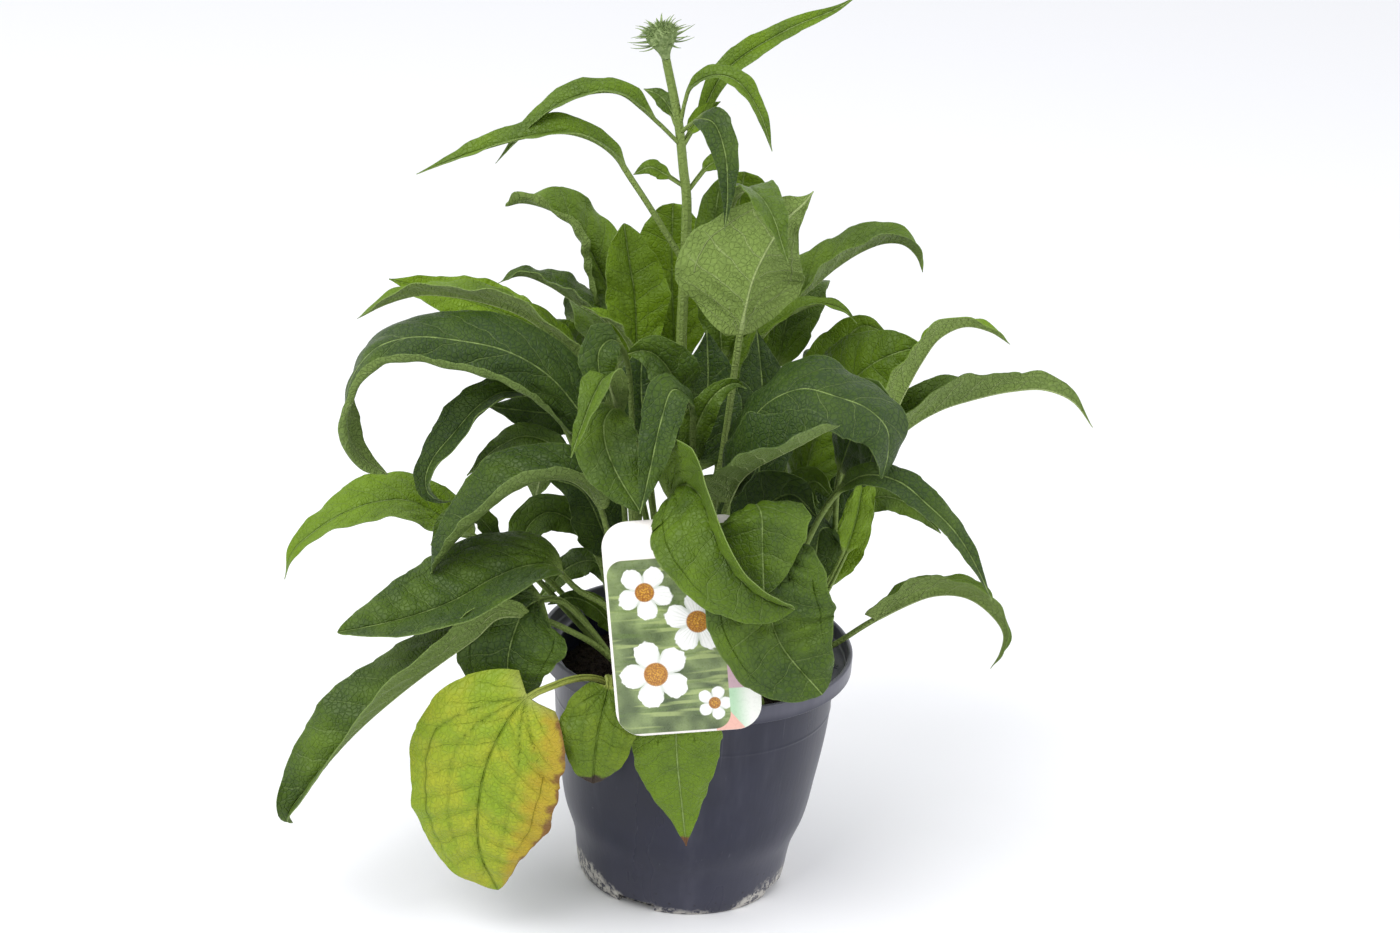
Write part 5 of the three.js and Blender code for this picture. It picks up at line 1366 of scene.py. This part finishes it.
def pot_outline():
    """Up the outside, over the lip, down the inside and across the floor."""
    radii, heights = belly_outline()
    lip, top, ledge = POT_HEIGHT - LIP_BAND, POT_HEIGHT, POT_HEIGHT - LIP_BAND + POT_WALL
    rim, inner_rim = POT_RIM_RADIUS, POT_RIM_RADIUS - LIP_WALL
    shoulder, neck = radii[-1], radii[-1] - POT_WALL
    inside = [(r, z) for r, z in zip(radii - POT_WALL, heights) if z > POT_FLOOR + 1][::-1]
    corners = [
        # the corner, a point on the way in, a point on the way out, and how far from it the curve starts
        ((shoulder, lip), (shoulder, lip - 3), (rim, lip), 1.6),
        ((rim, lip), (shoulder, lip), (rim, top), 1.0),
        ((rim, top), (rim, lip), (inner_rim, top), 1.2),
        ((inner_rim, top), (rim, top), (inner_rim, lip), 1.2),
        ((inner_rim, ledge), (inner_rim, top), (shoulder, ledge), 1.8),
        ((neck, ledge), (rim, ledge), (neck, lip - 3), 1.4),
    ]
    foot_corner = rounded((radii[3] - POT_WALL, POT_FLOOR), (radii[4] - POT_WALL, 8), (0, POT_FLOOR), 1.2)
    lip_points = [point for corner in corners for point in rounded(*corner)]
    outside = [(AXIS, 0.0), (FOOT_RING, 0.0), *zip(radii, heights)]
    return [*outside, *lip_points, *inside, *foot_corner, (AXIS, POT_FLOOR)]


print("the pot's outline has", len(pot_outline()), "points")

# %% Turning and cutting
NOTCHES, FIRST_NOTCH = 4, -113.0
NOTCH_WIDTH, NOTCH_HEIGHT, NOTCH_DEPTH = 24.0, 6.0, 12.0


def spin(degrees, axis):
    return Matrix.Rotation(math.radians(degrees), 4, axis)


def turned_rings(outline, sides):
    """Rings of points about Z, from an outline of radii and heights."""
    r, z = np.array(outline).T[..., None]
    return rings_round(r, np.linspace(0, 2 * np.pi, sides, endpoint=False), z)


def ringed_mesh(name, rings, material, sharp_from=None):
    grid = np.arange(rings[..., 0].size).reshape(rings.shape[:2])
    return shape_mesh(name, rings, ring_faces(grid), material, sharp_from)


def notch_cutter():
    shape, mesh = bmesh.new(), bpy.data.meshes.new("notch_cutter")
    size = Matrix.Diagonal((NOTCH_DEPTH * MM, NOTCH_WIDTH * MM, 2 * NOTCH_HEIGHT * MM, 1))
    outwards = Matrix.Translation((POT_BELLY[0][0] * MM, 0, 0))
    for i in range(NOTCHES):
        turn = spin(FIRST_NOTCH + 360 / NOTCHES * i, "Z")
        bmesh.ops.create_cube(shape, size=1, matrix=turn @ outwards @ size)
    shape.to_mesh(mesh)
    return mesh


def cut(name, whole, cutter):
    """A mesh less another, by a Boolean between two objects that stand only for the cut."""
    whole, cutter = stand("whole", whole), stand("cutter", cutter)
    mesh = baked(whole, name, "BOOLEAN", operation="DIFFERENCE", solver="EXACT", object=cutter)
    for thing in (whole, cutter):
        bpy.data.objects.remove(thing)
    return mesh


print(NOTCHES, "notches, each", NOTCH_WIDTH, "mm wide and", NOTCH_HEIGHT, "mm high")

# %% [markdown]
# ### Its finish
#
# The plastic is a blue-grey black with a soft sheen. Handling has left it cloudy, with fine scratches and
# flecks, and hard water has left chalky lime round the foot, thickest at the edge, with specks of peat in it.
# The lip is painted paler all round: painted light, for the light that the rim catches. Each of these is a
# pattern with its own height on the pot, laid one over the other.

# %% Weathered plastic
POT_COLOUR, POT_CLOUDY, POT_DUST_AND_RIM_LIGHT = rgb(28, 30, 47), rgb(36, 38, 57), rgb(98, 98, 110)
LIME_SCALE, PEAT_SPECK, PALE_FLECK = rgb(202, 198, 190), rgb(30, 24, 20), rgb(150, 150, 150)


def pot_finish():
    f = Finish("pot_plastic_weathered", rough=0.4, specular=0.36)
    place = f.place()
    x, _, height = f.split(place)
    cloud, crust = f.grain(place, 14.0, 4, 0.6), f.grain(place, 240.0, 4, 0.7)
    smear = f.grain(f.stretch(place, (30.0, 30.0, 6.0)), 1.0, 4, 0.6)
    scratch = f.grain(f.stretch(place, (420.0, 420.0, 14.0), (0.3, 0.2, 0)), 1.0, 2)
    fleck = f.fade_out(f.cells(place, 75.0), 0.0, 0.085) * f.fade(f.grain(place, 25.0, 2), 0.55, 0.65)
    ragged = (f.grain(place, 45.0, 4, 0.65) - 0.5) * 0.03
    edge = height + ragged - f.fade(abs(x), 0.025, 0.06) * 0.012
    lime = f.fade_out(edge, -0.001, 0.006) * f.fade(crust, 0.42, 0.54)
    colour = f.coats(
        f.blend(f.fade(cloud, 0.3, 0.75), POT_COLOUR, POT_CLOUDY),
        (f.fade(smear, 0.5, 0.8) * 0.35, POT_DUST_AND_RIM_LIGHT),
        (f.fade(scratch, 0.7, 0.8) * 0.25, POT_DUST_AND_RIM_LIGHT),
        (fleck * 0.7, PALE_FLECK),
        (f.fade_out(edge, 0.0, 0.05) * 0.25, POT_DUST_AND_RIM_LIGHT),
        (lime * 0.85, LIME_SCALE),
        # Painted light: the lip is painted paler all round, for the light that the rim catches, broken up by
        # the smears.
        (f.fade(height, 0.142, 0.15) * f.fade(smear, 0.25, 0.7, 0.35, 0.85), POT_DUST_AND_RIM_LIGHT),
        (f.fade_out(f.cells(place, 160.0), 0.0, 0.2) * f.fade_out(edge, 0.0, 0.03), PEAT_SPECK))
    return f.wear(Base_Color=colour, Roughness=f.fade(smear, 0.3, 0.8, 0.26, 0.42) + lime * 0.35,
                  Normal=f.bump(crust * (0.08 + lime) + scratch * 0.1, 0.0006))


whole_pot = ringed_mesh("whole_pot", turned_rings(pot_outline(), POT_SIDES), pot_finish())
settle("pot", smooth(cut("pot", whole_pot, notch_cutter()), POT_SHARP), "nursery_pot")

# %% [markdown]
# ## Peat
#
# Potting soil is crumbs from the size of dust to that of a pea. A flat disc would give it away at once, so
# the block's top is heaved into small mounds, and a tree strews crumbs over it. Each crumb is a pebble of
# twenty faces, pushed out of shape, in a random size and turn. The seed is fixed, so the same crumbs come
# back every time.

# %% The block of soil
SOIL_EDGE = 2.35  # the pot's wall and a little air
SOIL_FOOT, SOIL_FOOT_RADIUS = 2.9, 58.0
SOIL_SIDES, SOIL_ROWS = 120, 52
# Where, over what width and how far the top sinks at the pot.
SINK_FROM, SINK_WIDTH, SINK_DEPTH = 74.0, 8.0, 1.6


def soil_outline():
    side = [(r - SOIL_EDGE, z) for r, z in zip(*belly_outline()) if 3.5 < z < SOIL_TOP - 2]
    top = [(r, SOIL_TOP) for r in np.linspace(side[-1][0], AXIS, SOIL_ROWS)]
    return [(AXIS, SOIL_FOOT), (SOIL_FOOT_RADIUS, SOIL_FOOT), *side, *top]


def heaved(rings):
    """The block with mounds on its top, which sinks a little where it meets the pot."""
    x, y, z = np.moveaxis(rings, -1, 0)
    mounds = (1.1 * np.sin(x / 9.0 + 1) * np.cos(y / 7.5)
              + 0.8 * np.sin(x / 4.1 + y / 5.3 + 2) * np.sin(y / 3.7)
              + 0.4 * np.sin(x / 1.9 + 3) * np.sin(y / 2.3 + x / 6.0))
    sunk = clip01((np.hypot(x, y) - SINK_FROM) / SINK_WIDTH)
    return layered(x, y, z + (z > SOIL_TOP - 1) * (mounds * (1 - 0.5 * sunk) - SINK_DEPTH * sunk))


print("the block's outline has", len(soil_outline()), "points")

# %% Its finish
PEAT_DARK, PEAT_BROWN, PEAT_DUST = rgb(24, 19, 16), rgb(52, 42, 35), rgb(92, 78, 66)


def peat_finish():
    f = Finish("peat", rough=0.95, specular=0.15)
    lump, dust = f.grain(f.place(), 180.0, 4, 0.7), f.grain(f.place(), 900.0, 3, 0.7)
    colour = f.blend(f.fade(lump, 0.35, 0.7), PEAT_DARK, PEAT_BROWN)
    return f.wear(Base_Color=f.blend(f.fade(dust, 0.6, 0.75) * 0.5, colour, PEAT_DUST),
                  Normal=f.bump(lump + dust * 0.4, 0.0018))


PEAT = peat_finish()
soil_rings = heaved(turned_rings(soil_outline(), SOIL_SIDES))
soil = settle("soil", ringed_mesh("soil", soil_rings, PEAT), "potting_soil")

# %% Crumbs on the soil
def crumb_tree():
    """Lengths are in metres. Crumbs lie only on what is above the floor."""
    tree = Tree("peat_crumbs", Density=190000.0, Smallest=0.0005, Largest=0.0021, Floor=0.1245, Seed=11)
    given = tree.given
    _, _, z = tree.split(tree.node("GeometryNodeInputPosition"))
    dent = tree.node("FunctionNodeRandomValue", 0, [(-0.28,) * 3, (0.28,) * 3], data_type="FLOAT_VECTOR")
    pebble = tree.node("GeometryNodeMeshIcoSphere", 0, {"Radius": 1.0, "Subdivisions": 1})
    pebble = tree.node("GeometryNodeSetPosition", 0, {"Geometry": pebble, "Offset": dent})
    size = given.Smallest + tree.chance(0.0, 1.0, 5) ** 2.6 * (given.Largest - given.Smallest)
    squeeze = tree.vector(size, size * tree.chance(0.6, 1.0, 7), size * tree.chance(0.5, 0.9, 8))
    turn = tree.turn(tree.chance(0.0, 3.1, 12), tree.chance(0.0, 3.1, 13), tree.chance(0.0, 6.2, 14))
    return tree.end(tree.strew(pebble, tree.calc("GREATER_THAN", z, given.Floor), squeeze, turn))


crumbs = baked(soil, "soil_crumbs", "NODES", PEAT, node_group=crumb_tree())
settle("soil_crumbs", crumbs, "potting_soil")

# %% [markdown]
# ## The plant tag
#
# A plant tag is a card of stiff white plastic with rounded corners and a tongue that is pushed into the soil.
# A bevelled plane would do for the card, but its edge is what catches the light, so it is built from its
# outline: four rings, of which the outer two are drawn in a little to round the edge. The print on it is
# plain and general: large white blossoms over soft greenery, with a strip of pale colours beside them. It is
# drawn by the finish from the card's own coordinates, without an image.

# %% Cutting a card
CARD_THICKNESS, CARD_SHARP = 0.9, 50
CARD_LEVELS = ((0.25, -0.5), (0, -0.22), (0, 0.22), (0.25, 0.5))  # how far a ring is drawn in, and its level
CORNER_STEPS = 10


def card_rings(width, height, corner):
    """Four rings round a card with rounded corners, from its back to its front."""
    arc = np.linspace(0, np.pi / 2, CORNER_STEPS + 1)
    x, y = width / 2 - corner, height / 2 - corner
    quarters = list(enumerate(((1, 1), (-1, 1), (-1, -1), (1, -1))))
    return np.array([[(right * x + (corner - inset) * math.cos(a + quarter * math.pi / 2),
                       up * y + (corner - inset) * math.sin(a + quarter * math.pi / 2),
                       level * CARD_THICKNESS)
                      for quarter, (right, up) in quarters for a in arc] for inset, level in CARD_LEVELS])


def stick_card(name, rings, material, place):
    """A card in its place. Its flat coordinates are kept as a mark before it is moved there."""
    mesh = ringed_mesh(name, rings, material, CARD_SHARP)
    keep_mark(mesh, "card", rings)
    mesh.transform(place)
    settle(name, mesh, "plant_tag")


print("each ring of a card has", 4 * (CORNER_STEPS + 1), "points")

# %% [markdown]
# ### Its print
#
# A five-petalled blossom is easy in polar coordinates: the edge of the flower is a circle whose radius swells
# five times on the way round, and fine creases run outwards. The golden middle is a smaller disc of dots. The
# green behind is out of focus: soft noise, with a few long blades across it. A panel with two rounded corners
# is the distance to a box, less the corner's radius.

# %% The panel and its blossoms
BLOSSOMS = (
    # across and up on the card, radius, turn
    (-19.5, 21.0, 16.0, 0.25), (9.0, 2.0, 18.5, 0.95), (-17.0, -27.0, 20.0, 0.6), (15.0, -46.0, 10.0, 1.3),
)
PETAL_WHITE, PETAL_SHADE = rgb(248, 248, 246), rgb(158, 172, 150)
GOLD, GOLD_DOT, GOLD_EDGE = rgb(222, 168, 60), rgb(160, 106, 40), rgb(150, 92, 40)
PANEL_CENTRE, PANEL_HALF, PANEL_CORNER = (-8.2, -10.5), (31.6, 50.5), 9.0
GREEN_DEEP, GREEN_HAZE = rgb(72, 88, 54), rgb(142, 160, 104)
BLADE_LIGHT, BLADE_DARK = rgb(168, 184, 118), rgb(96, 118, 62)


def panel_share(f, x, y):
    """1 inside the picture's panel, whose upper left and lower right corners are rounded."""
    u, v = x - PANEL_CENTRE[0], y - PANEL_CENTRE[1]
    corner = f.fade_out(u * v, -1.0, 0.0) * PANEL_CORNER
    past_u, past_v = (f.most(abs(off) - half + corner, 0.0) for off, half in zip((u, v), PANEL_HALF))
    return f.fade_out(f.distance(past_u, past_v) - corner, 0.0, 0.4)


def blossom(f, card, dx, dy, radius, turn, picture):
    """Paints one blossom over the picture so far."""
    away = f.distance(dx, dy)
    angle = f.calc("ARCTAN2", dy, dx) + turn
    swell = abs(f.calc("COSINE", angle * 2.5))
    wobble = (f.grain(card, 0.22, 2) - 0.5) * 0.25
    edge = (0.46 + swell ** 0.5 * 0.54 + wobble) * radius
    ribs = abs(f.calc("SINE", angle * 17.5))
    crease = f.fade(ribs, 0.0, 0.9, 0.3, 0.0) * f.fade(away, radius * 0.3, radius, 1.0, 0.25)
    gap = f.fade(swell, 0.1, 0.6, 0.45, 0.0)
    gold = f.coats(GOLD, (f.fade(f.cells(card, 1.1), 0.25, 0.65), GOLD_DOT),
                   (f.fade(away, 0.0, radius * 0.34, 0.0, 0.5), GOLD_EDGE))
    return f.coats(
        picture,
        (f.fade_out(away - edge, -0.5, 0.4), f.blend(f.most(crease, gap), PETAL_WHITE, PETAL_SHADE)),
        (f.fade_out(away, radius * 0.32, radius * 0.37), gold))


def panel_picture(f, card, x, y):
    """Soft greenery with the blossoms over it."""
    haze = f.grain(f.stretch(card, (0.05, 0.05, 0.0)), 1.0, 2)
    blades = f.grain(f.stretch(card, (0.03, 0.28, 0.0), (0, 0, 0.75)), 1.0, 1)
    cross_blades = f.grain(f.stretch(card, (0.03, 0.33, 0.0), (0, 0, 2.1)), 1.0, 1)
    picture = f.coats(
        f.blend(f.fade(haze, 0.3, 0.7), GREEN_DEEP, GREEN_HAZE),
        (f.fade(blades, 0.55, 0.68, 0.0, 0.7), BLADE_LIGHT),
        (f.fade(cross_blades, 0.57, 0.66, 0.0, 0.6), BLADE_DARK))
    for across, up, radius, turn in BLOSSOMS:
        picture = blossom(f, card, x - across, y - up, radius, turn, picture)
    return picture


print(len(BLOSSOMS), "blossoms with radii of", [radius for _, _, radius, _ in BLOSSOMS], "mm")

# %% The strip of colours and the whole print
STRIP_LEFT, STRIP_TOP, STRIP_STEPS = 23.8, 34.0, (-38.0, -52.0)
STRIP_MINT, STRIP_CREAM = rgb(178, 214, 178), rgb(244, 246, 238)
STRIP_ROSE, STRIP_SALMON = rgb(196, 164, 174), rgb(236, 184, 168)
CARD_WHITE, CARD_BLUSH = rgb(238, 236, 230), rgb(244, 238, 234)


def colour_strip(f, x, y):
    """Mint that pales to cream, with a step to rose above it and a slanting one to salmon below."""
    slope = y + (x - STRIP_LEFT) * 1.3
    return f.coats(
        f.blend(f.fade(x, STRIP_LEFT + 1, STRIP_LEFT + 13), STRIP_MINT, STRIP_CREAM),
        (f.fade(y, STRIP_STEPS[0] - 0.3, STRIP_STEPS[0] + 0.3), STRIP_ROSE),
        (f.fade_out(slope, STRIP_STEPS[1] - 0.3, STRIP_STEPS[1] + 0.3), STRIP_SALMON))


def tag_print():
    f = Finish("tag_print", rough=0.28, specular=0.4)
    card = f.mark("card")
    x, y, level = f.split(card)
    in_strip = f.fade(x, STRIP_LEFT - 9.0, STRIP_LEFT - 8.8) * f.fade_out(y, STRIP_TOP, STRIP_TOP + 0.4)
    face = f.coats(CARD_BLUSH,
                   (in_strip, colour_strip(f, x, y)),
                   (panel_share(f, x, y), panel_picture(f, card, x, y)))
    cloud = f.grain(card, 0.6, 3)
    return f.wear(Base_Color=f.blend(f.fade(level, 0.3, 0.4), CARD_WHITE, face),
                  Coat_Weight=0.25, Coat_Roughness=0.12,
                  Roughness=f.fade(cloud, 0.3, 0.7, 0.24, 0.36), Normal=f.bump(cloud, 0.00005))


TAG_PRINT = tag_print()
print(TAG_PRINT.name, "mixed from", len(TAG_PRINT.node_tree.nodes), "nodes")

# %% The card and its tongue in their places
TAG_WIDTH, TAG_HEIGHT, TAG_CORNER = 83.0, 125.0, 15.0
TAG_CENTRE, TAG_LEAN, TAG_TILT = (-9, -101, 209), 8.8, 10.3
TONGUE_WIDTH, TONGUE_CORNER, TONGUE_TOP, TONGUE_TIP = 14.0, 6.5, (-13, -97.5, 226), (-14, -71, 112)

card_place = Matrix.Translation(Vector(TAG_CENTRE) * MM) @ spin(90 - TAG_TILT, "X") @ spin(TAG_LEAN, "Z")
stick_card("tag_card", card_rings(TAG_WIDTH, TAG_HEIGHT, TAG_CORNER), TAG_PRINT, card_place)

top, tip = Vector(TONGUE_TOP) * MM, Vector(TONGUE_TIP) * MM
upright = Vector((0, 0, 1)).rotation_difference(top - tip).to_matrix().to_4x4() @ spin(90, "X")
stick_card("tag_tongue", card_rings(TONGUE_WIDTH, (top - tip).length / MM, TONGUE_CORNER),
           plain_colour("tag_white", CARD_WHITE, 0.35), Matrix.Translation((top + tip) / 2) @ upright)

# %% [markdown] ## Done  The fine pieces must fill the same space as the solids.
